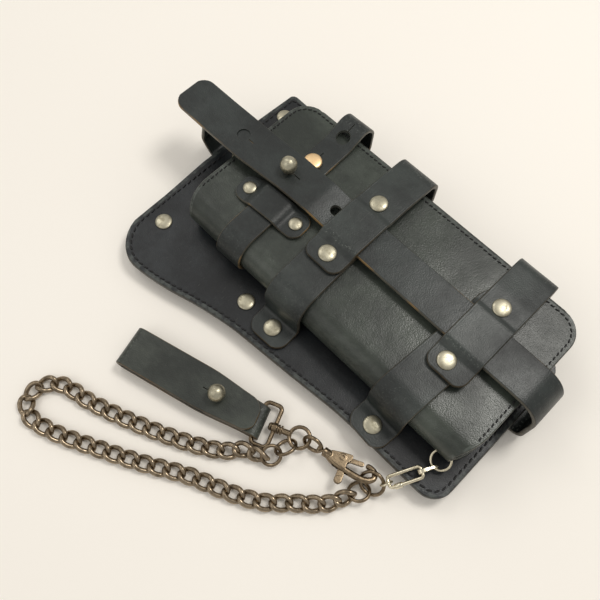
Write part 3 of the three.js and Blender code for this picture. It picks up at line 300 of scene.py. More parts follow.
def hole_tool(x, y, low, high, radius, slit=0.0, heading=0.0):
    """An upright round tool with a slit on one side, in millimetres, whose flat end leaves bare leather."""
    work = bmesh.new()
    outline = []
    count = 28
    half = 0.28
    start = math.asin(min(1, half / radius)) if slit else 0.0
    for k in range(count + 1 if slit else count):
        angle = start + (2 * math.pi - 2 * start) * k / count
        outline.append((radius * math.cos(angle), radius * math.sin(angle)))
    if slit:
        outline += [(radius + slit, -half), (radius + slit, half)]
    turn = math.radians(heading)
    rings = []
    for z in (low, high):
        rings.append([work.verts.new((
            (x + a * math.cos(turn) - b * math.sin(turn)) * MM,
            (y + a * math.sin(turn) + b * math.cos(turn)) * MM,
            (z - FLOOR) * MM,
        )) for a, b in outline])
    work.faces.new(list(reversed(rings[0])))
    work.faces.new(rings[1])
    for k in range(len(outline)):
        on = (k + 1) % len(outline)
        work.faces.new((rings[0][k], rings[0][on], rings[1][on], rings[1][k]))
    mesh = bpy.data.meshes.new("hole_tool")
    work.to_mesh(mesh)
    work.free()
    layer = mesh.attributes.new("rim", "FLOAT", "POINT")
    layer.data.foreach_set("value", [1.0] * len(mesh.vertices))
    tool = bpy.data.objects.new("hole_tool", mesh)
    bpy.context.scene.collection.objects.link(tool)
    return tool


# Wire pieces and turned pieces

def placed(points, x, y, z, heading=0.0, pitch=0.0, roll=0.0):
    """Points turned by heading, pitch and roll in degrees, then moved."""
    turn = Euler((math.radians(roll), -math.radians(pitch), math.radians(heading)), "XYZ").to_matrix()
    return [tuple(turn @ Vector(p) + Vector((x, y, z))) for p in points]


def wire_mesh(line, radius, sides=14, closed=True):
    """A round wire along points, with one frame carried along it."""
    line = [Vector(p) for p in line]
    count = len(line)
    tangents = []
    for i in range(count):
        before = line[i - 1] if closed or i else line[0]
        after = line[(i + 1) % count] if closed or i < count - 1 else line[-1]
        tangents.append((after - before).normalized())
    normal = tangents[0].orthogonal().normalized()
    normals = [normal]
    for i in range(1, count):
        turn = tangents[i - 1].rotation_difference(tangents[i])
        normal = (turn @ normal)
        normal = (normal - tangents[i] * normal.dot(tangents[i])).normalized()
        normals.append(normal)
    twist = 0.0
    if closed:
        last = tangents[-1].rotation_difference(tangents[0]) @ normals[-1]
        twist = math.atan2(last.cross(normals[0]).dot(tangents[0]), last.dot(normals[0]))
    points, faces = [], []
    for i in range(count):
        spin = twist * i / count
        out = normals[i]
        across = tangents[i].cross(out)
        for k in range(sides):
            angle = 2 * math.pi * k / sides + spin
            points.append(tuple(line[i] + (out * math.cos(angle) + across * math.sin(angle)) * radius))
    for i in range(count if closed else count - 1):
        here, there = i * sides, ((i + 1) % count) * sides
        for k in range(sides):
            on = (k + 1) % sides
            faces.append((here + k, here + on, there + on, there + k))
    if not closed:
        faces.append(tuple(range(sides)))
        faces.append(tuple((count - 1) * sides + k for k in range(sides)))
    return points, faces


def oval(along, across, count=56, gap=0.0, start=0.0):
    """Points of a round or oval loop in its own plane, open by a gap in degrees."""
    return [(
        along * math.cos(math.radians(start + gap / 2 + (360 - gap) * k / (count - 1 if gap else count))),
        across * math.sin(math.radians(start + gap / 2 + (360 - gap) * k / (count - 1 if gap else count))),
        0.0,
    ) for k in range(count)]


def turned_mesh(profile, sides=40):
    """A profile of (radius, height) turned about the upright axis, its ends on the axis."""
    points, faces = [], []
    for radius, height in profile[1:-1]:
        for k in range(sides):
            angle = 2 * math.pi * k / sides
            points.append((radius * math.cos(angle), radius * math.sin(angle), height))
    rows = len(profile) - 2
    for row in range(rows - 1):
        for k in range(sides):
            on = (k + 1) % sides
            faces.append((row * sides + k, row * sides + on, (row + 1) * sides + on, (row + 1) * sides + k))
    points += [(0, 0, profile[0][1]), (0, 0, profile[-1][1])]
    for k in range(sides):
        on = (k + 1) % sides
        faces.append((on, k, rows * sides))
        faces.append(((rows - 1) * sides + k, (rows - 1) * sides + on, rows * sides + 1))
    return points, faces


def joined_meshes(parts):
    """Several (points, faces) as one."""
    points, faces = [], []
    for more, loops in parts:
        base = len(points)
        points += more
        faces += [tuple(base + i for i in loop) for loop in loops]
    return points, faces


# Materials

def new_material(name):
    material = bpy.data.materials.new(name)
    material.use_nodes = True
    tree = material.node_tree
    tree.nodes.clear()
    out = tree.nodes.new("ShaderNodeOutputMaterial")
    shader = tree.nodes.new("ShaderNodeBsdfPrincipled")
    tree.links.new(shader.outputs["BSDF"], out.inputs["Surface"])
    return material, tree, shader


def linear(red, green, blue):
    """A colour given as it shows on screen, from 0 to 255."""
    def one(value):
        value = value / 255
        return value / 12.92 if value <= 0.04045 else ((value + 0.055) / 1.055) ** 2.4
    return (one(red), one(green), one(blue), 1.0)


class Tree:
    """Short ways to add nodes to one material."""

    def __init__(self, tree):
        self.tree = tree
        self.where = tree.nodes.new("ShaderNodeTexCoord").outputs["Object"]

    def link(self, value, socket):
        if hasattr(value, "default_value") or hasattr(value, "is_linked"):
            self.tree.links.new(value, socket)
        else:
            socket.default_value = value

    def stretched(self, scale, turn=(0, 0, 0)):
        node = self.tree.nodes.new("ShaderNodeMapping")
        node.inputs["Scale"].default_value = scale
        node.inputs["Rotation"].default_value = turn
        self.tree.links.new(self.where, node.inputs["Vector"])
        return node.outputs["Vector"]

    def noise(self, scale, detail=4.0, rough=0.55, vector=None, distortion=0.0):
        node = self.tree.nodes.new("ShaderNodeTexNoise")
        node.inputs["Scale"].default_value = scale
        node.inputs["Detail"].default_value = detail
        node.inputs["Roughness"].default_value = rough
        node.inputs["Distortion"].default_value = distortion
        self.tree.links.new(vector or self.where, node.inputs["Vector"])
        return node.outputs["Fac"]

    def cells(self, scale, feature="F1", vector=None):
        node = self.tree.nodes.new("ShaderNodeTexVoronoi")
        node.feature = feature
        node.inputs["Scale"].default_value = scale
        self.tree.links.new(vector or self.where, node.inputs["Vector"])
        return node.outputs["Distance"]

    def ramp(self, value, low, high, dark=0.0, light=1.0):
        node = self.tree.nodes.new("ShaderNodeMapRange")
        node.interpolation_type = "SMOOTHSTEP"
        node.inputs["From Min"].default_value = low
        node.inputs["From Max"].default_value = high
        node.inputs["To Min"].default_value = dark
        node.inputs["To Max"].default_value = light
        self.link(value, node.inputs["Value"])
        return node.outputs["Result"]

    def maths(self, operation, a, b=0.0):
        node = self.tree.nodes.new("ShaderNodeMath")
        node.operation = operation
        self.link(a, node.inputs[0])
        self.link(b, node.inputs[1])
        return node.outputs["Value"]

    def mix(self, share, a, b):
        node = self.tree.nodes.new("ShaderNodeMix")
        node.data_type = "RGBA"
        self.link(share, node.inputs[0])
        self.link(a, node.inputs[6])
        self.link(b, node.inputs[7])
        return node.outputs[2]

    def stored(self, name):
        node = self.tree.nodes.new("ShaderNodeAttribute")
        node.attribute_name = name
        return node.outputs["Fac"]

    def bump(self, height, strength, distance, before=None):
        node = self.tree.nodes.new("ShaderNodeBump")
        node.inputs["Strength"].default_value = strength
        node.inputs["Distance"].default_value = distance
        self.tree.links.new(height, node.inputs["Height"])
        if before is not None:
            self.tree.links.new(before, node.inputs["Normal"])
        return node.outputs["Normal"]


def leather_material(name, look, dark, light, edge_colour, gloss, bare, border):
    """Black leather: grain, scratches, a crease and rubbed border at its edges, a painted highlight with some
    wear along its edges, painted glare specks with wear on its convex bends, and rims bare in patches.
    """
    material, tree, shader = new_material(name)
    t = Tree(tree)
    clouds = t.noise(28, 5, 0.6)
    streaks = t.noise(1, 5, 0.6, t.stretched((520, 240, 520), (0, 0, 0.5)))
    pores = t.cells(1500)
    grain = t.noise(1900, 3, 0.6)
    scratch = t.noise(1, 2, 0.5, t.stretched((240, 2600, 600), (0, 0, -0.9)))
    tone = t.maths("ADD", t.maths("MULTIPLY", clouds, 0.88), t.maths("MULTIPLY", streaks, 0.18))
    colour = t.mix(t.ramp(tone, 0.38, 0.74), dark, light)
    fleck = t.ramp(grain, 0.6, 0.82, 0.0, 0.35 * look.wear)
    colour = t.mix(fleck, colour, linear(84, 85, 80))
    lines = t.ramp(scratch, 0.66, 0.78, 0.0, 0.35 * look.wear)
    colour = t.mix(lines, colour, linear(92, 93, 87))
    specks = t.maths("MULTIPLY", t.ramp(t.noise(1300, 3, 0.7), 0.66, 0.74), t.ramp(clouds, 0.5, 0.68))
    colour = t.mix(t.maths("MULTIPLY", specks, 0.5 * look.wear), colour, linear(150, 150, 144))
    edge = t.stored("edge")
    rim = t.stored("rim")
    bend = t.stored("bend")
    # Painted glare specks on convex bends, where the light catches the leather, with some wear there
    bend_glare_and_wear = t.maths("MULTIPLY", bend, t.ramp(t.noise(900, 4, 0.75), 0.55, 0.69))
    colour = t.mix(t.maths("MULTIPLY", bend_glare_and_wear, 0.55 * look.wear), colour, linear(150, 156, 148))
    # Painted highlight along the outermost edge, where the burnished edge catches light, with some edge wear
    edge_highlight_and_wear = t.maths("MULTIPLY", t.ramp(edge, 0.0, 0.5, 1.0, 0.0), t.ramp(clouds, 0.4, 0.62, 0.25, 1.0))
    colour = t.mix(t.maths("MULTIPLY", edge_highlight_and_wear, 0.6 * look.wear), colour, linear(112, 112, 103))
    if border:
        inside = t.ramp(edge, border * 0.85, border, 1.0, 0.0)
        rubbed = t.maths("MULTIPLY", inside, t.ramp(t.noise(210, 5, 0.7), 0.4, 0.62))
        colour = t.mix(t.maths("MULTIPLY", rubbed, 0.5 * look.wear), colour, linear(94, 100, 95))
    side = t.maths("MULTIPLY", rim, t.ramp(t.noise(45, 4), bare[0], bare[1], bare[2], 1.0))
    colour = t.mix(side, colour, edge_colour)
    tree.links.new(colour, shader.inputs["Base Color"])
    mean = look.roughness - gloss
    rough = t.ramp(clouds, 0.3, 0.7, mean + 0.07, mean - 0.07)
    rough = t.maths("ADD", rough, t.maths("MULTIPLY", lines, -0.3))
    tree.links.new(rough, shader.inputs["Roughness"])
    shader.inputs["Specular IOR Level"].default_value = 0.42
    crease = t.maths("MULTIPLY", t.ramp(edge, 1.0, 1.35, 0.0, 1.0), t.ramp(edge, 1.5, 1.9, 1.0, 0.0))
    normal = t.bump(crease, 0.16, -0.0002)
    normal = t.bump(t.noise(75, 3, 0.5), 0.45, 0.0007, normal)
    normal = t.bump(pores, 0.5 * look.grain, -0.00012, normal)
    normal = t.bump(grain, 0.45 * look.grain, 0.00008, normal)
    normal = t.bump(scratch, 0.25, 0.00006, normal)
    tree.links.new(normal, shader.inputs["Normal"])
    return material


def metal_material(name, base, stain, roughness, stained):
    """Plated metal with tarnish in patches, fine scratches and small dents."""
    material, tree, shader = new_material(name)
    t = Tree(tree)
    patches = t.noise(330, 5, 0.62)
    fine = t.noise(1, 3, 0.6, t.stretched((2400, 500, 2400), (0.3, 0, 0.8)))
    share = t.maths("MULTIPLY", t.ramp(patches, 0.44, 0.68), stained)
    tree.links.new(t.mix(share, base, stain), shader.inputs["Base Color"])
    shader.inputs["Metallic"].default_value = 1.0
    spread = t.maths("ADD", t.maths("MULTIPLY", share, 0.25),
                     t.ramp(fine, 0.35, 0.7, roughness - 0.05, roughness + 0.09))
    tree.links.new(spread, shader.inputs["Roughness"])
    normal = t.bump(t.noise(420, 3), 0.15, 0.0001)
    normal = t.bump(fine, 0.2, 0.00004, normal)
    tree.links.new(normal, shader.inputs["Normal"])
    return material


def thread_material(name):
    """Waxed black thread with its twist."""
    material, tree, shader = new_material(name)
    t = Tree(tree)
    twist = t.noise(1, 2, 0.5, t.stretched((2600, 2600, 5200), (0.4, 0.2, 0.7)))
    colour = t.mix(t.ramp(twist, 0.35, 0.7), linear(7, 7, 8), linear(26, 26, 26))
    tree.links.new(colour, shader.inputs["Base Color"])
    shader.inputs["Roughness"].default_value = 0.62
    tree.links.new(t.bump(twist, 0.6, 0.0001), shader.inputs["Normal"])
    return material


def floor_material():
    """Pale warm paper sweep."""
    material, tree, shader = new_material("pale_floor")
    t = Tree(tree)
    colour = t.mix(t.noise(3, 2), linear(252, 247, 238), linear(255, 251, 243))
    tree.links.new(colour, shader.inputs["Base Color"])
    shader.inputs["Roughness"].default_value = 0.75
    return material


# Repeats made with geometry nodes

def scatter_group(name):
    """Instances one object's mesh on points, turned by a stored rotation, and makes it one mesh."""
    group = bpy.data.node_groups.new(name, "GeometryNodeTree")
    group.interface.new_socket("Points", in_out="INPUT", socket_type="NodeSocketGeometry")
    group.interface.new_socket("Piece", in_out="INPUT", socket_type="NodeSocketObject")
    group.interface.new_socket("Scale", in_out="INPUT", socket_type="NodeSocketFloat")
    group.interface.new_socket("Variation", in_out="INPUT", socket_type="NodeSocketFloat")
    group.interface.new_socket("Seed", in_out="INPUT", socket_type="NodeSocketInt")
    group.interface.new_socket("Material", in_out="INPUT", socket_type="NodeSocketMaterial")
    group.interface.new_socket("Mesh", in_out="OUTPUT", socket_type="NodeSocketGeometry")
    nodes, links = group.nodes, group.links
    inside = nodes.new("NodeGroupInput")
    outside = nodes.new("NodeGroupOutput")
    info = nodes.new("GeometryNodeObjectInfo")
    links.new(inside.outputs["Piece"], info.inputs["Object"])
    stored = nodes.new("GeometryNodeInputNamedAttribute")
    stored.data_type = "FLOAT_VECTOR"
    stored.inputs["Name"].default_value = "turn"
    chance = nodes.new("FunctionNodeRandomValue")
    chance.data_type = "FLOAT"
    links.new(inside.outputs["Seed"], chance.inputs["Seed"])
    spread = nodes.new("ShaderNodeMath")
    spread.operation = "MULTIPLY_ADD"
    links.new(chance.outputs[1], spread.inputs[0])
    links.new(inside.outputs["Variation"], spread.inputs[1])
    links.new(inside.outputs["Scale"], spread.inputs[2])
    instance = nodes.new("GeometryNodeInstanceOnPoints")
    links.new(inside.outputs["Points"], instance.inputs["Points"])
    links.new(info.outputs["Geometry"], instance.inputs["Instance"])
    to_turn = nodes.new("FunctionNodeEulerToRotation")
    links.new(stored.outputs["Attribute"], to_turn.inputs["Euler"])
    links.new(to_turn.outputs["Rotation"], instance.inputs["Rotation"])
    links.new(spread.outputs["Value"], instance.inputs["Scale"])
    real = nodes.new("GeometryNodeRealizeInstances")
    links.new(instance.outputs["Instances"], real.inputs["Geometry"])
    paint = nodes.new("GeometryNodeSetMaterial")
    links.new(real.outputs["Geometry"], paint.inputs["Geometry"])
    links.new(inside.outputs["Material"], paint.inputs["Material"])
    links.new(paint.outputs["Geometry"], outside.inputs["Mesh"])
    return group


def scattered(name, places, source, material, variation=0.0, seed=1):
    """One mesh of a source (points, faces) repeated at places (x, y, z, turn) in millimetres."""
    points, faces = source
    mesh = bpy.data.meshes.new(name + "_source")
    mesh.from_pydata([(x * MM, y * MM, z * MM) for x, y, z in points], [], faces)
    work = bmesh.new()
    work.from_mesh(mesh)
    bmesh.ops.recalc_face_normals(work, faces=work.faces)
    work.to_mesh(mesh)
    work.free()
    mesh.shade_smooth()
    single = bpy.data.objects.new(name + "_source", mesh)
    bpy.context.scene.collection.objects.link(single)
    base = bpy.data.meshes.new(name)
    base.from_pydata([(x * MM, y * MM, (z - FLOOR) * MM) for x, y, z, _ in places], [], [])
    turns = base.attributes.new("turn", "FLOAT_VECTOR", "POINT")
    for k, place in enumerate(places):
        turns.data[k].vector = place[3]
    piece = bpy.data.objects.new(name, base)
    bpy.context.scene.collection.objects.link(piece)
    modifier = piece.modifiers.new("repeat", "NODES")
    group = scatter_group(name + "_repeat")
    modifier.node_group = group
    values = {"Piece": single, "Scale": 1.0, "Variation": variation, "Seed": seed, "Material": material}
    for item in group.interface.items_tree:
        if item.item_type == "SOCKET" and item.in_out == "INPUT" and item.name in values:
            modifier[item.identifier] = values[item.name]
    applied(piece)
    piece.data.shade_smooth()
    bpy.data.objects.remove(single)
    return piece


def node_box(name):
    """A solid's lowest and highest corner, in millimetres above the floor."""
    low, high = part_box(name)
    raise_by = Vector((0, 0, FLOOR))
    return Vector(low) / MM + raise_by, Vector(high) / MM + raise_by

# Shapes shared by several pieces

def between(value, low, high):
    """A smooth step from 0 to 1 as a value goes from low to high."""
    share = min(1, max(0, (value - low) / (high - low)))
    return share * share * (3 - 2 * share)


def along_table(table, value):
    """A value read from rows of (place, size), straight between them."""
    if value <= table[0][0]:
        return table[0][1]
    for (a, first), (b, second) in zip(table, table[1:]):
        if value <= b:
            return first + (second - first) * (value - a) / (b - a)
    return table[-1][1]


# Half width of the plate as shares of its length from the bottom and of its half width
PLATE_SIDES = [
    (0.0, 0.7), (0.28, 0.7), (0.45, 0.755), (0.61, 0.8),
    (0.71, 0.865), (0.79, 0.94), (0.87, 0.99), (1.0, 1.0),
]
# How far the plate's top edge lies below its middle, along its width
PLATE_DROP = [(-75, 2.5), (-30, 1.75), (0, 0.0), (45, 1.0), (75, 2.5)]
FOOT_CORNER = 12
LEFT_SHOULDER = 24
RIGHT_SHOULDER = 4
PLATE_WAVE = 0.05


def plate_half(y):
    """The plate's half width at a height, eased between the rows of its table."""
    length = PLATE_TOP - PLATE_BOTTOM
    total = 0.0
    for k in range(-3, 4):
        total += along_table(PLATE_SIDES, (y + k * 2.5 - PLATE_BOTTOM) / length)
    return total / 7 * PLATE_HALF


def plate_drop(x, y):
    return along_table(PLATE_DROP, x) * between(y, 15, PLATE_TOP)


def plate_edges(distance, total, y):
    half = plate_half(y)
    top = total - distance
    right = corner_inset(distance, FOOT_CORNER) + corner_inset(top, RIGHT_SHOULDER)
    left = corner_inset(distance, FOOT_CORNER) + corner_inset(top, LEFT_SHOULDER)
    return -half + right, half - left


def plate_outline(inset):
    """The plate's outline drawn in by a distance, as even points, clockwise from the foot's middle."""
    right, left = [], []
    count = 600
    total = PLATE_TOP - PLATE_BOTTOM
    for k in range(count + 1):
        distance = total * (1 - math.cos(math.pi * k / count)) / 2
        y = PLATE_BOTTOM + distance
        low, high = plate_edges(distance, total, y)
        right.append(Vector((-low, y - plate_drop(-low, y))))
        left.append(Vector((-high, y - plate_drop(-high, y))))
    line = resampled([Vector((0, PLATE_BOTTOM))] + right + left[::-1] + [Vector((0, PLATE_BOTTOM))], 0.5)
    moved = []
    for i in range(len(line)):
        onward = (line[(i + 4) % len(line)] - line[i - 4]).normalized()
        moved.append(line[i] + Vector((-onward.y, onward.x)) * inset)
    return moved


# Heights of the cross straps' layers and their places along the pouch
UPPER_AT = -56.0
LOWER_AT = -140.5
LONG_X = 19.0
LONG_HALF = 11.5
STRAP_WIDTH = 24.5
PINCH = STRAP_STEP * 0.6
HUMP_PINCH = RIGHT_HUMP - STRAP_STEP * 0.4
# Left halves of the cross straps: the rivet's place and the strap's turn
LEFT_ENDS = [("upper", UPPER_AT, -57.6, 2.2), ("lower", LOWER_AT, -131.9, -4.4)]
LEFT_RIVET_X = -44.8
LOOSE_EDGE = 73.0
CLOSURE_Y = -12.0
CLOSURE_TURN = 2.0
BALL_Y = -6.2
LONG_SHAPE = [(-200, 1.0, 0.0), (-43.75, 1.0, 0.0), (-8, 1.04, -0.8), (20, 1.1, -2.6), (73.5, 1.08, -4.0)]


def closure_line(x):
    return CLOSURE_Y + x * math.tan(math.radians(CLOSURE_TURN))


def folded_sheet(inset, thickness, beyond, short, columns, seed, wave=0.1):
    """The wallet's cover or lining: a sheet folded like a C, with round corners."""
    near = WALLET_FOLD + inset + thickness / 2
    low = WALLET_BACK + inset + thickness / 2
    high = WALLET_FRONT - inset - thickness / 2
    radius = (high - low) / 2 - 0.01

    def edges(distance, total, a):
        ends = inset + 6 * max(0, 1 - (a - near) / (2 * radius)) ** 2
        return WALLET_BOTTOM + ends, WALLET_TOP - ends

    return dict(
        corners=[
            (WALLET_OPEN - short, low), (near, low, radius),
            (near, high, radius), (WALLET_OPEN + beyond, high),
        ],
        thickness=thickness, edges=edges, rounding=(10, 14),
        columns=columns, seed=seed, wave=wave, spacing=1.6,
    )


def long_edges(distance, total, y):
    if distance < total * 0.4:
        return -LONG_HALF, LONG_HALF
    half = along_table([(row[0], row[1]) for row in LONG_SHAPE], y) * LONG_HALF
    drift = along_table([(row[0], row[2]) for row in LONG_SHAPE], y)
    return -drift - half, -drift + half


# Loose belt loop on the left and the hardware on it
LOOSE = dict(x=-106.5, y=-8.0, heading=-74.4)
LOOSE_BAR = 82.6
LOOSE_BOTTOM, LOOSE_SECOND, LOOSE_TOP = 1.15, 6.65, 9.25


def loose_point(along):
    turn = math.radians(LOOSE["heading"])
    return LOOSE["x"] + along * math.cos(turn), LOOSE["y"] + along * math.sin(turn)


HOOK = dict(x=-71.0, y=-123.9, z=6.7, heading=-78.0, pitch=2.4, roll=-7.3)
HOOK_EYE_ROLL = 61.0
# The hook's bar: u along the collar's axis, v to the gate's side, half width and half depth
HOOK_BAR = [
    (2.2, -0.4, 2.0, 2.1), (5, -1.6, 1.9, 2.1), (9, -2.2, 1.8, 2.1), (14, -2.3, 1.75, 2.0),
    (19, -2.1, 1.7, 1.9), (23, -1.6, 1.65, 1.8), (26.2, -0.2, 1.6, 1.75), (27.9, 2.2, 1.55, 1.7),
    (26.8, 4.8, 1.5, 1.65), (24, 5.8, 1.45, 1.6), (21.2, 5.7, 1.3, 1.5),
]
HOOK_WEB = [
    (2, -2), (2.6, 2.4, 1), (8.4, 4.7, 3), (13.4, 6.2, 0.8),
    (14.2, 3.4, 1), (12.6, 1, 1.5), (13.4, -2.6), (2, -2),
]
HOOK_PIN = (9.3, 2.4)
RINGS = [
    ("ring_open", -83.6, -107.8, 5.15, 5.6, 46.3, 254.0, 14.0),
    ("ring_chain_start", -91.8, -105.45, 4.8, 5.1, 26.5, 76.9, 0.0),
    ("ring_chain_end", -72.4, -149.75, 3.3, 5.4, 25.1, 243.4, 0.0),
    ("ring_hook", -65.15, -151.65, 6.3, 6.35, 42.5, 5.9, 0.0),
]
CHAIN_ROUTE = [
    (-79.55, -146.85), (-88.3, -142.4), (-100.2, -130.2), (-111.2, -118.5), (-119.4, -104.4), (-129.3, -82.4),
    (-142.2, -60.7), (-154, -38.5), (-164.9, -16.1), (-169, -0.6), (-165.9, 6.9), (-158.8, 9.7),
    (-151, 7), (-145.8, 0.8), (-141.6, -15.3), (-135.9, -31.1), (-126.2, -53.7), (-114.9, -75.5),
    (-106.9, -87), (-99.7, -93.6), (-96.4, -100.9),
]
CHAIN_LINKS = 40
LINK_WIRE = 1.3
LINK_HALF = 3.5
LINK_OVERLAP = 0.6
CLIP = dict(x=-59.6, y=-157.3, z=10.0, end_x=-44.6, end_y=-165.3, end_z=14.9, half=2.9, wire=0.9)
WALLET_RING = dict(x=-33.9, y=-168.2, z=16.0, radius=5.15, wire=0.65, tilt=20.0)


def spaced_on_curve(points, count):
    """Evenly spaced points on a centripetal Catmull-Rom curve through points."""
    points = [Vector(p) for p in points]
    points = [points[0] * 2 - points[1]] + points + [points[-1] * 2 - points[-2]]
    fine = []
    for i in range(1, len(points) - 2):
        p0, p1, p2, p3 = points[i - 1:i + 3]
        d0, d1, d2 = ((b - a).length ** 0.5 for a, b in ((p0, p1), (p1, p2), (p2, p3)))
        t1 = ((p1 - p0) / d0 - (p2 - p0) / (d0 + d1) + (p2 - p1) / d1) * d1
        t2 = ((p2 - p1) / d1 - (p3 - p1) / (d1 + d2) + (p3 - p2) / d2) * d1
        for k in range(50):
            t = k / 50
            square = -3 * p1 + 3 * p2 - 2 * t1 - t2
            cube = 2 * p1 - 2 * p2 + t1 + t2
            fine.append(p1 + t1 * t + square * t * t + cube * t ** 3)
    fine.append(points[-2])
    total = sum((b - a).length for a, b in zip(fine, fine[1:]))
    return resampled(fine, total / (count - 1)), total


def swept(line, section, sides=20):
    """A closed bar of oval section along points (u, v) in the plane, with rounded ends."""
    points, faces = [], []
    last = len(line) - 1
    for i, (u, v) in enumerate(line):
        before, after = line[max(0, i - 1)], line[min(last, i + 1)]
        onward = Vector((after[0] - before[0], after[1] - before[1])).normalized()
        across, deep = section(i / last)
        for k in range(sides):
            angle = 2 * math.pi * k / sides
            out = across * math.copysign(abs(math.cos(angle)) ** 0.8, math.cos(angle))
            up = deep * math.copysign(abs(math.sin(angle)) ** 0.8, math.sin(angle))
            points.append((u - onward.y * out, v + onward.x * out, up))
    for i in range(last):
        for k in range(sides):
            on = (k + 1) % sides
            faces.append((i * sides + k, i * sides + on, (i + 1) * sides + on, (i + 1) * sides + k))
    faces.append(tuple(range(sides)))
    faces.append(tuple(last * sides + k for k in range(sides)))
    return points, faces


def slab(outline, depth):
    """A closed plate of a depth around an outline of (u, v) points."""
    count = len(outline)
    points = [(u, v, -depth / 2) for u, v in outline] + [(u, v, depth / 2) for u, v in outline]
    faces = [tuple(range(count))[::-1], tuple(range(count, 2 * count))]
    faces += [(k, (k + 1) % count, count + (k + 1) % count, count + k) for k in range(count)]
    return points, faces


def spun(profile, sides=36):
    """A profile of (radius, place) turned about u."""
    points, faces = turned_mesh(profile, sides)
    return [(z, y, -x) for x, y, z in points], faces


def pin(place, radius, depth, sides=36):
    """A round pin across the hook's plane, with its rims eased."""
    half = depth / 2
    ease = min(0.25, half * 0.4)
    points, faces = turned_mesh([
        (0, -half), (radius - ease, -half), (radius, -half + ease),
        (radius, half - ease), (radius - ease, half), (0, half),
    ], sides)
    return [(x + place[0], y + place[1], z) for x, y, z in points], faces


def arm(start, end, width, depth, sides=12):
    """A flat bar with round ends between two points of the hook's plane."""
    onward = Vector((end[0] - start[0], end[1] - start[1])).normalized()
    base = math.atan2(onward.y, onward.x)
    outline = []
    for centre, first in ((end, base - math.pi / 2), (start, base + math.pi / 2)):
        for k in range(sides + 1):
            angle = first + math.pi * k / sides
            outline.append((centre[0] + math.cos(angle) * width / 2, centre[1] + math.sin(angle) * width / 2))
    return slab(outline, depth)


def fused(name, nodes, parts, material, body="root", voxel=0.2, smooth=5, tools=()):
    """One smooth metal piece grown together from overlapping closed parts, with tools cut out."""
    points, faces = joined_meshes(parts)
    piece = mesh_object(name, points, faces, material)
    grown = piece.modifiers.new("grown", "REMESH")
    grown.mode = "VOXEL"
    grown.voxel_size = voxel * MM
    eased = piece.modifiers.new("eased", "SMOOTH")
    eased.factor = 0.5
    eased.iterations = smooth
    applied(piece)
    for tool_points, tool_faces in tools:
        tool = mesh_object(name + "_tool", tool_points, tool_faces, material)
        carve(piece, tool)
    if not piece.data.materials:
        piece.data.materials.append(material)
    piece.data.shade_smooth()
    piece.data.set_sharp_from_angle(angle=math.radians(45))
    finished(piece, nodes, body)
    return piece


# Settings of the add-on

class BeltPouchSettings(bpy.types.PropertyGroup):
    grain: bpy.props.FloatProperty(
        name="Grain", description="Strength of the leather's pores and creases",
        default=1.0, min=0.0, max=3.0)
    # Wear also sets the strength of the painted edge highlight and the painted glare specks on bends
    wear: bpy.props.FloatProperty(
        name="Wear", description="Strength of the scratches and rubbed edges", default=1.0, min=0.0, max=3.0)
    roughness: bpy.props.FloatProperty(
        name="Leather roughness", description="Roughness of the waxed leather",
        default=0.4, min=0.05, max=1.0)
    tarnish: bpy.props.FloatProperty(
        name="Tarnish", description="Share of the metal under dark patches", default=0.6, min=0.0, max=1.0)
    plate_pitch: bpy.props.FloatProperty(
        name="Plate stitch pitch", description="Distance between the plate's stitches", default=0.004,
        min=0.002, max=0.01, subtype="DISTANCE", unit="LENGTH")
    cover_pitch: bpy.props.FloatProperty(
        name="Wallet stitch pitch", description="Distance between the wallet's stitches", default=0.0032,
        min=0.002, max=0.01, subtype="DISTANCE", unit="LENGTH")
    seed: bpy.props.IntProperty(
        name="Seed", description="Seed of the small differences between stitches and rivets",
        default=7, min=0)


GREY_EDGE = (70, 66, 58)
PATCHES = (0.35, 0.65, 0.35)
# Each leather's dark, light and bare rim colour, gloss, where its rims are bare, and its border's width
LEATHERS = {
    "plate_leather": ((13, 16, 19), (34, 39, 42), GREY_EDGE, 0.0, PATCHES, 3.0),
    "cover_leather": ((40, 45, 40), (72, 78, 71), GREY_EDGE, 0.1, PATCHES, 2.3),
    "strap_leather": ((31, 35, 34), (58, 64, 61), (72, 62, 46), 0.0, PATCHES, 0.0),
    "tan_edge_leather": ((24, 28, 27), (50, 56, 54), (140, 114, 74), 0.0, (0.5, 0.66, 0.1), 0.0),
    "loop_leather": ((36, 40, 36), (68, 73, 66), (100, 78, 48), 0.0, PATCHES, 0.0),
    "inner_leather": ((26, 27, 26), (48, 49, 47), GREY_EDGE, 0.0, PATCHES, 0.0),
}
# Each metal's base and stain colour, roughness and share of the tarnish setting
METALS = {
    "rivet_brass": ((186, 181, 160), (134, 127, 106), 0.34, 1.0),
    "antique_bronze": ((136, 120, 98), (66, 55, 43), 0.26, 1.0),
    "chain_metal": ((152, 137, 116), (76, 65, 52), 0.26, 1.0),
    "bright_nickel": ((222, 214, 190), (150, 134, 100), 0.2, 0.6),
    "worn_copper": ((248, 216, 168), (226, 182, 128), 0.42, 0.5),
}


def shared(name, settings):
    """One of the pouch's materials, made when it is first asked for."""
    found = bpy.data.materials.get(name)
    if found:
        return found
    if name in LEATHERS:
        dark, light, edge, gloss, bare, border = LEATHERS[name]
        return leather_material(name, settings, linear(*dark), linear(*light), linear(*edge),
                                gloss, bare, border)
    if name in METALS:
        base, stain, roughness, share = METALS[name]
        return metal_material(name, linear(*base), linear(*stain), roughness, settings.tarnish * share)
    if name == "waxed_thread":
        return thread_material(name)
    raise ValueError("no material is called " + name)


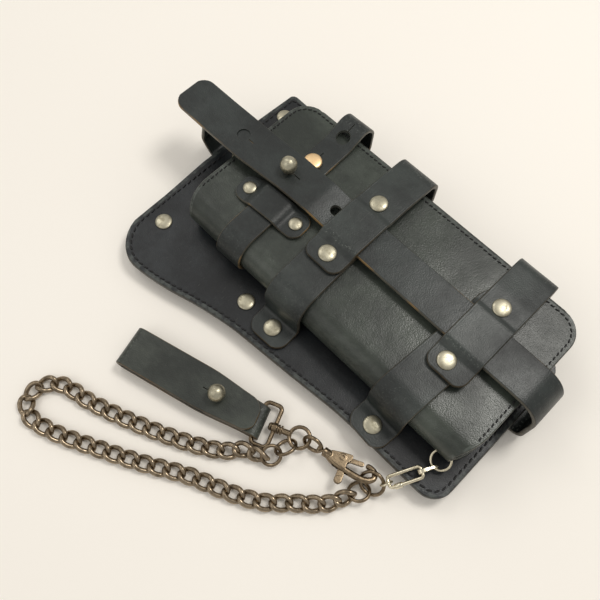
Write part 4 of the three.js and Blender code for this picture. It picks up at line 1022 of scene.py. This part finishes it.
def stitch_mesh(length, width, height):
    """A single stitch: a plump bean lying along x."""
    points, faces = [], []
    rings, sides = 7, 8
    for i in range(1, rings):
        angle = math.pi * i / rings
        x = -math.cos(angle) * length / 2
        size = math.sin(angle) ** 0.55
        for k in range(sides):
            turn = 2 * math.pi * k / sides
            points.append((x, math.cos(turn) * width / 2 * size, math.sin(turn) * height / 2 * size))
    rows = rings - 1
    for i in range(rows - 1):
        for k in range(sides):
            on = (k + 1) % sides
            faces.append((i * sides + k, i * sides + on, (i + 1) * sides + on, (i + 1) * sides + k))
    points += [(-length / 2, 0, 0), (length / 2, 0, 0)]
    for k in range(sides):
        on = (k + 1) % sides
        faces.append((on, k, rows * sides))
        faces.append(((rows - 1) * sides + k, (rows - 1) * sides + on, rows * sides + 1))
    return points, faces


def stitch_places(line, pitch, height, slant=12):
    """Places of stitches along a line of points, each slanted a little to it."""
    places = []
    spots = resampled(line, pitch)
    for a, b in zip(spots, spots[1:]):
        onward = b - a
        turn = math.atan2(onward.y, onward.x) + math.radians(slant)
        middle = (a + b) / 2
        places.append((middle.x, middle.y, height(middle.x, middle.y), (0, 0, turn)))
    return places


# Operators: each makes one piece or one family of pieces

class BELTPOUCH_OT_plate(bpy.types.Operator):
    """Make the back plate with its stitched edge and the two belt loops behind it"""
    bl_idname = "belt_pouch.plate"
    bl_label = "Back Plate"

    def execute(self, context):
        settings = context.scene.belt_pouch
        leather = shared("plate_leather", settings)
        middle = (PLATE_BACK + PLATE_FRONT) / 2
        shape = dict(corners=[(PLATE_BOTTOM, middle), (PLATE_TOP, middle)], thickness=PLATE_THICKNESS,
                     edges=plate_edges, heading=90, columns=56, spacing=1.6, wave=PLATE_WAVE, rim=0.9,
                     seed=1.0, dense=(FOOT_CORNER, LEFT_SHOULDER))
        points, faces, attributes = band_mesh(**shape)
        points = [(x, y - plate_drop(x, y), z) for x, y, z in points]
        plate = mesh_object("backing_panel_leather", points, faces, leather, attributes)
        finished(plate, "backing_panel")
        places = stitch_places(plate_outline(3.4), settings.plate_pitch / MM, lambda x, y: PLATE_FRONT + 0.2)
        places += stitch_places(plate_outline(3.4), settings.plate_pitch / MM, lambda x, y: PLATE_BACK - 0.2)
        seam = scattered("plate_stitches", places, stitch_mesh(2.9, 1.1, 1.0),
                         shared("waxed_thread", settings), seed=settings.seed)
        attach(seam, "root")
        # Name, place, half the span between its rivets and turn of each belt loop
        for name, x, y, half, turn in (("left", -44.0, 0, 35.5, 0), ("right", 51.6, 2.3, 37.8, -10)):
            end, ramp = half + 7.8, half - 4.6
            band("belt_loop_" + name, shared("strap_leather", settings), corners=[
                (-end, 5.6), (-ramp, 5.6, 3), (4.8 - ramp, 1.1, 3),
                (ramp - 4.8, 1.1, 3), (ramp, 5.6, 3), (end, 5.6),
            ], thickness=2.2, edges=even(25), rounding=(12.5, 12.5), x=x, y=y, heading=90 + turn,
                 seed=turn + 2.0)
        return {"FINISHED"}


class BELTPOUCH_OT_wallet(bpy.types.Operator):
    """Make the folded wallet: cover, lining, pockets and the stitches on its edges"""
    bl_idname = "belt_pouch.wallet"
    bl_label = "Wallet"

    def execute(self, context):
        settings = context.scene.belt_pouch
        leather = shared("cover_leather", settings)
        band("wallet_cover", leather, **folded_sheet(0, 2.2, 0, 6, 64, 3.0))
        band("wallet_lining", shared("inner_leather", settings),
             **folded_sheet(2.5, 1.5, 1.8, 4.2, 24, 4.0, 0.05))
        for name, bottom in (("pocket_upper", 27.9), ("pocket_lower", 17.5)):
            middle = (WALLET_TOP + WALLET_BOTTOM) / 2
            ends = 99.5
            band(name, shared("inner_leather", settings),
                 corners=[(-16.5, bottom + 1.5), (61.5, bottom + 1.5)], thickness=3.0,
                 edges=lambda d, t, a: (middle - ends, middle + ends), rounding=(6, 6),
                 columns=12, spacing=4, seed=5.0)
        edge = 2.6
        x, top, bottom = WALLET_OPEN - edge, WALLET_TOP - edge, WALLET_BOTTOM + edge
        line = rounded_line([(-20, bottom), (x, bottom, 14 - edge), (x, top, 14 - edge), (-20, top)])
        places = stitch_places(line, settings.cover_pitch / MM, lambda a, b: WALLET_FRONT + 0.12)
        seam = scattered("wallet_stitches", places, stitch_mesh(2.3, 0.95, 0.95),
                         shared("waxed_thread", settings), seed=settings.seed + 1)
        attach(seam, "root")
        return {"FINISHED"}


class BELTPOUCH_OT_straps(bpy.types.Operator):
    """Make the closure strap, its keeper, the four half straps, the stud tab and the long strap"""
    bl_idname = "belt_pouch.straps"
    bl_label = "Straps"

    def execute(self, context):
        settings = context.scene.belt_pouch
        strap = shared("strap_leather", settings)
        tan = shared("tan_edge_leather", settings)
        fold = (CLOSURE_FRONT - CLOSURE_BACK) / 2 - 0.01
        high = CLOSURE_FRONT + 6
        band("closure_strap", tan, holes=[
            hole_tool(33.8, closure_line(33.8) + 1.7, WALLET_FRONT, high, 3.3, 5.5, CLOSURE_TURN),
            hole_tool(57.2, closure_line(57.2), WALLET_FRONT, high, 4.2, 5.5, CLOSURE_TURN),
        ], corners=[
            (15, CLOSURE_FRONT), (53, CLOSURE_FRONT, 14), (69, CLOSURE_FRONT + 5.8, 8),
            (74.6, CLOSURE_FRONT - 2, 7), (73.6, (CLOSURE_BACK + WALLET_BACK) / 2 + 4, 8),
            (63, CLOSURE_BACK, 8), (-35.6, CLOSURE_BACK, fold), (-35.6, CLOSURE_FRONT, fold),
            (4, CLOSURE_FRONT),
        ], thickness=CLOSURE, edges=even(17.5), rounding=(8.75, 8.75), y=CLOSURE_Y, heading=CLOSURE_TURN,
             seed=6.0)
        on_cover, over_strap, shift = 36.6, 38.9, 1.444
        band("keeper_tab", tan, corners=[
            (-23.6, on_cover), (shift - 12.2, on_cover, 2), (shift - 8.8, over_strap, 3),
            (shift + 8.8, over_strap, 3), (shift + 12.2, on_cover, 2), (23.6, on_cover),
        ], thickness=2.2, edges=even(17), rounding=(6.5, 6.5), x=-1.6, y=-13.5, heading=93.39,
             seed=7.0, spacing=0.8, soften=5)
        for row, (name, at, start, turn) in enumerate(LEFT_ENDS):
            cos = math.cos(math.radians(turn))
            reach = [(x - LEFT_RIVET_X) / cos for x in (-53.4, -36.8, 31.9, 33.3, 47.6)]
            band("cross_strap_" + name + "_left", strap, corners=[
                (reach[0], STRAP_ON_PLATE), (reach[1], STRAP_ON_PLATE, 3.6),
                (reach[1], STRAP_ON_WALLET, 12.32),
                (reach[2], STRAP_ON_WALLET, 1.5), (reach[3], STRAP_ON_WALLET + PINCH, 1.5),
                (reach[4], STRAP_ON_WALLET + PINCH),
            ], thickness=STRAP, edges=even(STRAP_WIDTH), rounding=(7.5, 12.25), x=LEFT_RIVET_X, y=start,
                 heading=turn, seed=8.0 + row)
            edge = LOOSE_EDGE - 2 * row
            band("cross_strap_" + name + "_right", strap, corners=[
                (-9.9, RIGHT_OVER_RIVET), (3.1, RIGHT_OVER_RIVET, 2), (6.7, RIGHT_HUMP, 2),
                (30.9, RIGHT_HUMP, 1.5),
                (32.4, HUMP_PINCH, 1.5), (45.6, HUMP_PINCH, 8), (edge, WALLET_FRONT + 4.2, 8),
                (edge, PLATE_FRONT + 9, 9), (edge - 11, STRAP_ON_FLOOR, 6), (edge - 20, STRAP_ON_FLOOR, 6),
                (46, STRAP_UNDER_PLATE, 3), (30, STRAP_UNDER_PLATE),
            ], thickness=STRAP, edges=even(STRAP_WIDTH), rounding=(6.5, 12.25), y=at, seed=10.0 + row)
        under = PLATE_BACK - 0.3 - TAB / 2
        band("stud_tab", strap, corners=[
            (29, under), (54, under, 3), (60.5, PLATE_FRONT + 4, 6), (55.5, TAB_OVER_CLOSURE - 5, 9),
            (29, TAB_OVER_CLOSURE, 14), (-27, TAB_OVER_CLOSURE),
        ], thickness=TAB, edges=even(19), rounding=(9.5, 9.5), x=LONG_X - 1, heading=90, seed=12.0)
        on_straps = STRAP_ON_WALLET + STRAP_STEP
        high = LONG_OVER_TAB + 6
        piece = band("long_strap", tan, holes=[
            hole_tool(LONG_X - 1, BALL_Y, WALLET_FRONT + 6.6, high, 3.3, 5.5, -90),
            hole_tool(LONG_X, -41.5, WALLET_FRONT, high, 3.3, 0, 0),
            hole_tool(LONG_X - 3, 28, LONG_OVER_TAB + 0.85, high, 3.9, 4.0, -90),
        ], corners=[
            (-136, STRAP_UNDER_PLATE), (-154, STRAP_UNDER_PLATE, 5), (-166, STRAP_ON_FLOOR, 6),
            (-188.7, STRAP_ON_FLOOR, 5.6), (-188.7, on_straps, 14), (-128, on_straps), (-42.75, on_straps, 8),
            (-30, LONG_OVER_TAB, 8), (20, LONG_OVER_TAB, 30), (48, LONG_OVER_TAB + 0.6, 30),
            (73.5, LONG_OVER_TAB + 1.8),
        ], thickness=STRAP, edges=long_edges, rounding=(11.5, 7.5), x=LONG_X, heading=90, seed=13.0)
        # The floor of the shallow upper mark stays as dark as the strap's face
        mark = Vector((LONG_X - 3, 28, LONG_OVER_TAB + 0.85 - FLOOR)) * MM
        for vertex in piece.data.vertices:
            off = vertex.co - mark
            if math.hypot(off.x, off.y) < 4 * MM and abs(off.z) < 0.1 * MM:
                piece.data.attributes["rim"].data[vertex.index].value = 0.0
                piece.data.attributes["edge"].data[vertex.index].value = 3.0
        return {"FINISHED"}


class BELTPOUCH_OT_side_loop(bpy.types.Operator):
    """Make the loose belt loop on the left"""
    bl_idname = "belt_pouch.side_loop"
    bl_label = "Loose Belt Loop"

    def execute(self, context):
        settings = context.scene.belt_pouch
        bar = (LOOSE_SECOND - LOOSE_BOTTOM) / 2
        fold = (LOOSE_TOP - LOOSE_BOTTOM) / 2 - 0.01
        wrap = LOOSE_BAR + bar
        x, y = loose_point(58)

        def edges(distance, total, a):
            half = 11.5 + (9 - 11.5) * between(a, 46, LOOSE_BAR)
            return -half, half

        band("side_loop", shared("loop_leather", settings), holes=[
            hole_tool(x, y, LOOSE_TOP - 1.2, LOOSE_TOP + 3, 1.9, 7.4, LOOSE["heading"] + 180),
        ], corners=[
            (46, LOOSE_SECOND), (wrap, LOOSE_SECOND, bar - 0.01), (wrap, LOOSE_BOTTOM, bar - 0.01),
            (0, LOOSE_BOTTOM, fold), (0, LOOSE_TOP, fold), (82.5, LOOSE_TOP),
        ], thickness=2.3, edges=edges, rounding=(11.5, 7), skew=lambda a: -0.125 * between(a, 46, LOOSE_BAR),
             seed=14.0, **LOOSE)
        return {"FINISHED"}


class BELTPOUCH_OT_rivets(bpy.types.Operator):
    """Make the rivet heads and caps, the two ball studs and the closure's disc stud"""
    bl_idname = "belt_pouch.rivets"
    bl_label = "Rivets and Studs"

    def execute(self, context):
        settings = context.scene.belt_pouch
        metal = shared("rivet_brass", settings)
        names = sorted(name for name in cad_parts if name.startswith("rivet_"))
        heads, small, caps = [], [], []
        for k, name in enumerate(names):
            low, high = node_box(name)
            x, y = (low.x + high.x) / 2, (low.y + high.y) / 2
            lean = (math.radians(2.5 * math.sin(k * 2.1)), math.radians(2.5 * math.cos(k * 1.7)), k * 1.3)
            if "keeper" in name:
                small.append((x, y, high.z - 1.7, lean))
            else:
                heads.append((x, y, high.z - 2.1, lean))
                caps.append((x, y, low.z, (0, 0, k * 0.9)))
        dome = [(0, 0), (4.6, 0), (4.86, 0.12), (4.96, 0.38), (4.88, 0.66), (4.5, 0.92), (3.7, 1.16),
                (2.6, 1.34), (1.3, 1.44), (0, 1.47)]
        lesser = [(r * 0.78, h) for r, h in dome]
        cap = [(0, 0), (2.7, 0), (3.1, 0.16), (3.2, 0.45), (3.1, 0.74), (2.9, 0.8), (0, 0.8)]
        pieces = [
            ("rivet_heads", heads, dome), ("small_rivet_heads", small, lesser), ("rivet_caps", caps, cap),
        ]
        for name, places, profile in pieces:
            piece = scattered(name, places, turned_mesh(profile), metal, variation=0.02, seed=settings.seed)
            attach(piece, "root")
            if name == "rivet_heads":
                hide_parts(*names)
        for name in ("ball_stud", "side_loop_stud"):
            low, high = node_box(name)
            x, y = (low.x + high.x) / 2, (low.y + high.y) / 2
            total = high.z - low.z
            ball = 4.8
            middle = total - 4.5
            over = middle - 5.1
            profile = [(0, 0), (3.0, 0), (3.2, 0.2), (3.2, 0.6), (3.0, 0.78), (1.4, 0.8), (1.4, over - 0.2),
                       (2.5, over), (2.4, over + 0.25), (1.75, over + 0.5), (1.7, over + 0.9)]
            profile += [(ball * math.cos(math.radians(a)), middle + ball * math.sin(math.radians(a)))
                        for a in range(-64, 90, 8)]
            profile.append((0, middle + ball))
            points, faces = turned_mesh(profile, 48)
            points = [(px + x, py + y, pz + low.z) for px, py, pz in points]
            piece = mesh_object(name + "_metal", points, faces, metal)
            finished(piece, name)
        low, high = node_box("closure_stud")
        x, y = (low.x + high.x) / 2, (low.y + high.y) / 2
        disc = high.z - low.z - 2.53
        profile = [(0, 0), (1.1, 0), (1.1, disc), (4.7, disc + 0.3), (5.2, disc + 0.6),
                   (5.3, disc + 1.1), (5.15, disc + 1.6), (4.7, disc + 1.95), (3.4, disc + 2.2),
                   (1.7, disc + 2.36), (0, disc + 2.4)]
        points, faces = turned_mesh(profile, 48)
        points = [(px + x, py + y, pz + low.z) for px, py, pz in points]
        piece = mesh_object("closure_stud_metal", points, faces, shared("worn_copper", settings))
        finished(piece, "closure_stud")
        return {"FINISHED"}


class BELTPOUCH_OT_chain(bpy.types.Operator):
    """Make the curb chain from one twisted link repeated along its route"""
    bl_idname = "belt_pouch.chain"
    bl_label = "Chain"

    def execute(self, context):
        settings = context.scene.belt_pouch
        centres, total = spaced_on_curve(CHAIN_ROUTE, CHAIN_LINKS)
        pitch = total / (CHAIN_LINKS - 1)
        half = (pitch - LINK_OVERLAP) / 2 + LINK_WIRE
        line = []
        for k in range(44):
            angle = 2 * math.pi * k / 44
            cos = math.copysign(abs(math.cos(angle)) ** 0.88, math.cos(angle))
            sin = math.copysign(abs(math.sin(angle)) ** 0.88, math.sin(angle))
            twist = math.radians(45) * math.cos(angle)
            line.append((half * cos, LINK_HALF * sin * math.cos(twist), LINK_HALF * sin * math.sin(twist)))
        last = CHAIN_LINKS - 1
        places = []
        for i, centre in enumerate(centres):
            onward = centres[min(i + 1, last)] - centres[max(i - 1, 0)]
            start, finish = max(0, 1 - i / 3), max(0, 1 - (last - i) / 3)
            height = 2.55 + start * (4 - 2.55) + finish * (5.5 - 2.55)
            roll = math.radians(finish * 55 - start * 42)
            places.append((centre.x, centre.y, height, (roll, 0, math.atan2(onward.y, onward.x))))
        piece = scattered("chain_links", places, wire_mesh(line, LINK_WIRE, 12),
                          shared("chain_metal", settings), seed=settings.seed)
        finished(piece, "chain")
        return {"FINISHED"}


class BELTPOUCH_OT_rings(bpy.types.Operator):
    """Make the loose rings, the wallet's ring and the clip between them"""
    bl_idname = "belt_pouch.rings"
    bl_label = "Rings and Clip"

    def execute(self, context):
        settings = context.scene.belt_pouch
        antique, nickel = shared("antique_bronze", settings), shared("bright_nickel", settings)
        for name, x, y, z, radius, tilt, raised, gap in RINGS:
            points, faces = wire_mesh(oval(radius, radius, 72, gap, -90), 0.95, 16, not gap)
            piece = mesh_object(name + "_metal", placed(points, x, y, z, raised, tilt), faces, antique)
            piece.data.set_sharp_from_angle(angle=math.radians(60))
            finished(piece, name)
        ring = WALLET_RING
        points, faces = wire_mesh(oval(ring["radius"], ring["radius"], 72), ring["wire"], 14)
        points = placed(points, ring["x"], ring["y"], ring["z"], 0, ring["tilt"])
        piece = mesh_object("wallet_ring_metal", points, faces, nickel)
        finished(piece, "wallet_ring")
        run = math.hypot(CLIP["end_x"] - CLIP["x"], CLIP["end_y"] - CLIP["y"])
        rise = CLIP["end_z"] - CLIP["z"]
        heading = math.degrees(math.atan2(CLIP["end_y"] - CLIP["y"], CLIP["end_x"] - CLIP["x"]))
        pitch = math.degrees(math.atan2(rise, run))
        length, half = math.hypot(run, rise), CLIP["half"]
        outline = resampled(rounded_line([
            (0, 0), (0, half, 1.6), (length, half, 1.6), (length, -half, 1.6), (0, -half, 1.6), (0, -0.02),
        ]), 0.22)[:-1]
        points, faces = wire_mesh([(p.x, p.y, 0) for p in outline], CLIP["wire"], 14)
        barrel, more = spun([(0, 2.4), (1.25, 2.4), (1.4, 2.55), (1.4, 6.25), (1.25, 6.4), (0, 6.4)], 30)
        barrel = [(u, v - half, w) for u, v, w in barrel]
        parts = joined_meshes([(points, faces), (barrel, more)])
        points = placed(parts[0], CLIP["x"], CLIP["y"], CLIP["z"], heading, pitch)
        piece = mesh_object("clip_frame_metal", points, parts[1], nickel)
        piece.data.set_sharp_from_angle(angle=math.radians(50))
        finished(piece, "clip_frame")
        back = 1.2 * math.cos(math.radians(11.5))
        turn = math.radians(heading)
        points, faces = wire_mesh(oval(3, 3, 56), 0.55, 12)
        piece = mesh_object("clip_ring_metal", placed(
            points, CLIP["x"] - back * math.cos(turn), CLIP["y"] - back * math.sin(turn),
            CLIP["z"] - 1.2 * math.sin(math.radians(11.5)), heading, 11.5, -74), faces, nickel)
        finished(piece, "clip_ring")
        left_x = ring["x"] - ring["radius"] * math.cos(math.radians(ring["tilt"]))
        left_z = ring["z"] - ring["radius"] * math.sin(math.radians(ring["tilt"]))
        reach = math.hypot(left_x - CLIP["end_x"], ring["y"] - CLIP["end_y"])
        frame_wrap, ring_wrap = 0.9 + 0.6 + 0.45, 0.65 + 0.9 + 0.45
        end = CLIP["end_z"]
        band("clip_tongue", nickel, slot="nickel", corners=[
            (1.4, end - frame_wrap), (-frame_wrap, end - frame_wrap, frame_wrap - 0.01),
            (-frame_wrap, end + frame_wrap, frame_wrap - 0.01), (2.6, end + frame_wrap, 2),
            (reach - 1.2, left_z + ring_wrap, 1), (reach + ring_wrap, left_z + ring_wrap, ring_wrap - 0.01),
            (reach + ring_wrap, left_z - 2),
        ], thickness=0.9, edges=lambda d, total, a: (-(1.4 - 0.8 * d / total), 1.4 - 0.8 * d / total),
             x=CLIP["end_x"], y=CLIP["end_y"],
             heading=math.degrees(math.atan2(ring["y"] - CLIP["end_y"], left_x - CLIP["end_x"])),
             spacing=0.4, columns=6, rim=0.25, wave=0.02, seed=15.0)
        return {"FINISHED"}


class BELTPOUCH_OT_hook(bpy.types.Operator):
    """Make the square ring, the swivel, and the snap hook with its lever"""
    bl_idname = "belt_pouch.hook"
    bl_label = "Snap Hook"

    def execute(self, context):
        settings = context.scene.belt_pouch
        metal = shared("antique_bronze", settings)
        bar_height = (LOOSE_BOTTOM + LOOSE_SECOND) / 2
        pitch = math.degrees(math.asin((4.35 - bar_height) / 9.5))
        x, y = loose_point(LOOSE_BAR)
        outline = resampled(rounded_line([
            (0, 0), (0, 11.65, 2.6), (9.5, 11.65, 2.6), (9.5, -11.65, 2.6), (0, -11.65, 2.6), (0, -0.02),
        ]), 0.5)[:-1]
        wire = wire_mesh([(p.x, p.y, 0) for p in outline], 1.2, 18)
        hub, hub_faces = spun([(0, -1.6), (2.35, -1.6), (2.6, -1.35), (2.6, 1.35), (2.35, 1.6), (0, 1.6)])
        hub = [(u + 9.5, v, w) for u, v, w in hub]
        bore, bore_faces = spun([(0, -3), (1.4, -3), (1.4, 3), (0, 3)])
        bore = [(u + 9.5, v, w) for u, v, w in bore]
        place = (x, y, bar_height, -67, pitch)
        fused("square_ring_metal", "square_ring", [
            (placed(wire[0], *place), wire[1]), (placed(hub, *place), hub_faces),
        ], metal, tools=[(placed(bore, *place), bore_faces)])
        reach = 9.5 * math.cos(math.radians(pitch))
        turn = math.radians(-67)
        place = (x + reach * math.cos(turn), y + reach * math.sin(turn), 4.35, -67, 4.1, 5.8)
        post = spun([
            (0, -3.5), (1.7, -3.4), (2.2, -2.7), (2.2, -1.9), (1.1, -1.9), (1.1, 1.9), (2.6, 1.9), (2.6, 2.7),
            (1.6, 2.75), (1.6, 3.45), (2.6, 3.5), (2.6, 4.3), (1.6, 4.35), (1.7, 8.9), (0, 8.9),
        ])
        eye = wire_mesh([(u + 14.2, v, w) for u, v, w in oval(5.5, 5.5, 64)], 1.05, 16)
        fused("swivel_eye_metal", "swivel_eye", [
            (placed(post[0], *place), post[1]), (placed(eye[0], *place), eye[1]),
        ], metal, voxel=0.17, smooth=3)
        place = tuple(HOOK[key] for key in ("x", "y", "z", "heading", "pitch", "roll"))
        eye_place = place[:5] + (HOOK_EYE_ROLL,)
        post = spun([(0, -4.5), (1.6, -4.4), (1.9, -3.9), (1.9, -2.9), (1.1, -2.3), (1.1, 2), (0, 2)])
        eye = wire_mesh([(u - 7.4, v, w) for u, v, w in oval(5.1, 4.2, 64)], 1.05, 16)
        fused("hook_eye_metal", "hook_eye", [
            (placed(post[0], *eye_place), post[1]), (placed(eye[0], *eye_place), eye[1]),
        ], metal, voxel=0.17, smooth=3)
        sizes = [(row[2], row[3]) for row in HOOK_BAR]
        line = [Vector(row[:2]) for row in HOOK_BAR]
        steps = [0.0]
        for a, b in zip(line, line[1:]):
            steps.append(steps[-1] + (b - a).length)
        spots = spaced_on_curve(line, 90)[0]

        def section(share):
            ease = min(1.0, math.sqrt(max(0.0, 1 - max(0.0, (share - 0.97) / 0.03) ** 2)) * 0.75 + 0.25)
            at = share * steps[-1]
            return (along_table(list(zip(steps, [s[0] for s in sizes])), at) * ease,
                    along_table(list(zip(steps, [s[1] for s in sizes])), at) * ease)

        bar = swept([(p.x, p.y) for p in spots], section)
        web = slab([(p.x, p.y) for p in rounded_line(HOOK_WEB)[:-1]], 4.2)
        collar = spun([(0, -0.9), (2.2, -0.9), (2.6, -0.5), (2.45, 1.2), (2.6, 3.2), (2.2, 4), (0, 4)])
        slot = slab([(6.2, -15), (16, -15), (16, 15), (6.2, 15)], 2.2)
        bore = spun([(0, -2), (1.4, -2), (1.4, 2.3), (0, 2.3)])
        lip = pin(HOOK_PIN, 1.9, 4.5)
        drilled = pin(HOOK_PIN, 0.85, 5.2)
        fused("hook_body_metal", "hook_body", [(placed(p, *place), f) for p, f in (bar, web, collar, lip)],
              metal, voxel=0.17, smooth=6,
              tools=[(placed(p, *place), f) for p, f in (slot, bore, drilled)])
        rod = pin(HOOK_PIN, 1.0, 2.7)
        piece = mesh_object("hook_pin_metal", placed(rod[0], *place), rod[1], metal)
        piece.data.set_sharp_from_angle(angle=math.radians(40))
        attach(piece, "root")
        thumb = (13, -8.6)
        parts = [
            pin(HOOK_PIN, 2.6, 1.6), arm(HOOK_PIN, (19.2, 5.0), 2.5, 1.6), arm(HOOK_PIN, thumb, 2.6, 1.6),
            arm((12.5, -5.6), thumb, 4.0, 1.8), pin(thumb, 2.1, 2.0),
        ]
        hole = pin(HOOK_PIN, 1.35, 4)
        fused("hook_lever_metal", "hook_lever", [(placed(p, *place), f) for p, f in parts],
              metal, body="lever", voxel=0.15, smooth=4,
              tools=[(placed(hole[0], *place), hole[1])])
        return {"FINISHED"}


class BELTPOUCH_OT_stage(bpy.types.Operator):
    """Set the pale floor, the soft lights and the camera"""
    bl_idname = "belt_pouch.stage"
    bl_label = "Floor, Lights and Camera"

    def execute(self, context):
        floor = mesh_object("floor", [(-3000, -3000, 0), (3000, -3000, 0), (3000, 3000, 0), (-3000, 3000, 0)],
                            [(0, 1, 2, 3)], floor_material())
        world = bpy.data.worlds.new("soft_room")
        world.use_nodes = True
        sky = world.node_tree.nodes["Background"]
        sky.inputs["Color"].default_value = (1.0, 0.975, 0.94, 1.0)
        sky.inputs["Strength"].default_value = 0.52
        context.scene.world = world
        context.scene.view_settings.view_transform = "Standard"
        target = Vector((-0.02, -0.06, 0.0))
        # Name, place, size and power of each soft light
        for name, place, size, power in (
            ("key_light", (0.5, -0.22, 1.05), 0.35, 5.0),
            ("back_light", (0.1, 0.9, 1.2), 0.6, 2.4),
            ("fill_light", (-0.9, 0.3, 1.0), 0.9, 2.0),
        ):
            lamp = bpy.data.lights.new(name, "AREA")
            lamp.shape = "SQUARE"
            lamp.size = size
            lamp.energy = power
            lamp.color = (1.0, 0.97, 0.93)
            light = bpy.data.objects.new(name, lamp)
            light.location = place
            light.rotation_euler = (target - Vector(place)).to_track_quat("-Z", "Y").to_euler()
            context.scene.collection.objects.link(light)
        eye = Vector((-0.1235, -0.1589, 0.3533))
        forward = (Vector((-0.01886, -0.05247, -0.007)) - eye).normalized()
        right = Vector((0.7133, -0.7009, 0)).normalized()
        up = right.cross(forward)
        view = bpy.data.cameras.new("photo_view")
        view.lens = 40.8
        view.sensor_width = 36
        camera = bpy.data.objects.new("photo_view", view)
        camera.matrix_world = Matrix((
            (right.x, up.x, -forward.x, eye.x),
            (right.y, up.y, -forward.y, eye.y),
            (right.z, up.z, -forward.z, eye.z),
            (0, 0, 0, 1),
        ))
        context.scene.collection.objects.link(camera)
        context.scene.camera = camera
        return {"FINISHED"}


class BELTPOUCH_PT_panel(bpy.types.Panel):
    """Sidebar panel of the belt pouch"""
    bl_label = "Belt Pouch"
    bl_idname = "BELTPOUCH_PT_panel"
    bl_space_type = "VIEW_3D"
    bl_region_type = "UI"
    bl_category = "Belt Pouch"

    def draw(self, context):
        settings = context.scene.belt_pouch
        for name in ("grain", "wear", "roughness", "tarnish", "plate_pitch", "cover_pitch", "seed"):
            self.layout.prop(settings, name)
        for step in STEPS:
            self.layout.operator(step.bl_idname)


STEPS = (
    BELTPOUCH_OT_plate, BELTPOUCH_OT_wallet, BELTPOUCH_OT_straps, BELTPOUCH_OT_side_loop, BELTPOUCH_OT_rivets,
    BELTPOUCH_OT_chain, BELTPOUCH_OT_rings, BELTPOUCH_OT_hook, BELTPOUCH_OT_stage,
)
CLASSES = (BeltPouchSettings, *STEPS, BELTPOUCH_PT_panel)


def register():
    for kind in CLASSES:
        bpy.utils.register_class(kind)
    bpy.types.Scene.belt_pouch = bpy.props.PointerProperty(type=BeltPouchSettings)


def unregister():
    del bpy.types.Scene.belt_pouch
    for kind in reversed(CLASSES):
        bpy.utils.unregister_class(kind)


def main():
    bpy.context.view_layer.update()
    register()
    bpy.ops.belt_pouch.plate()
    bpy.ops.belt_pouch.wallet()
    bpy.ops.belt_pouch.straps()
    bpy.ops.belt_pouch.side_loop()
    bpy.ops.belt_pouch.rivets()
    bpy.ops.belt_pouch.chain()
    bpy.ops.belt_pouch.rings()
    bpy.ops.belt_pouch.hook()
    bpy.ops.belt_pouch.stage()


if __name__ == "__main__":
    main()
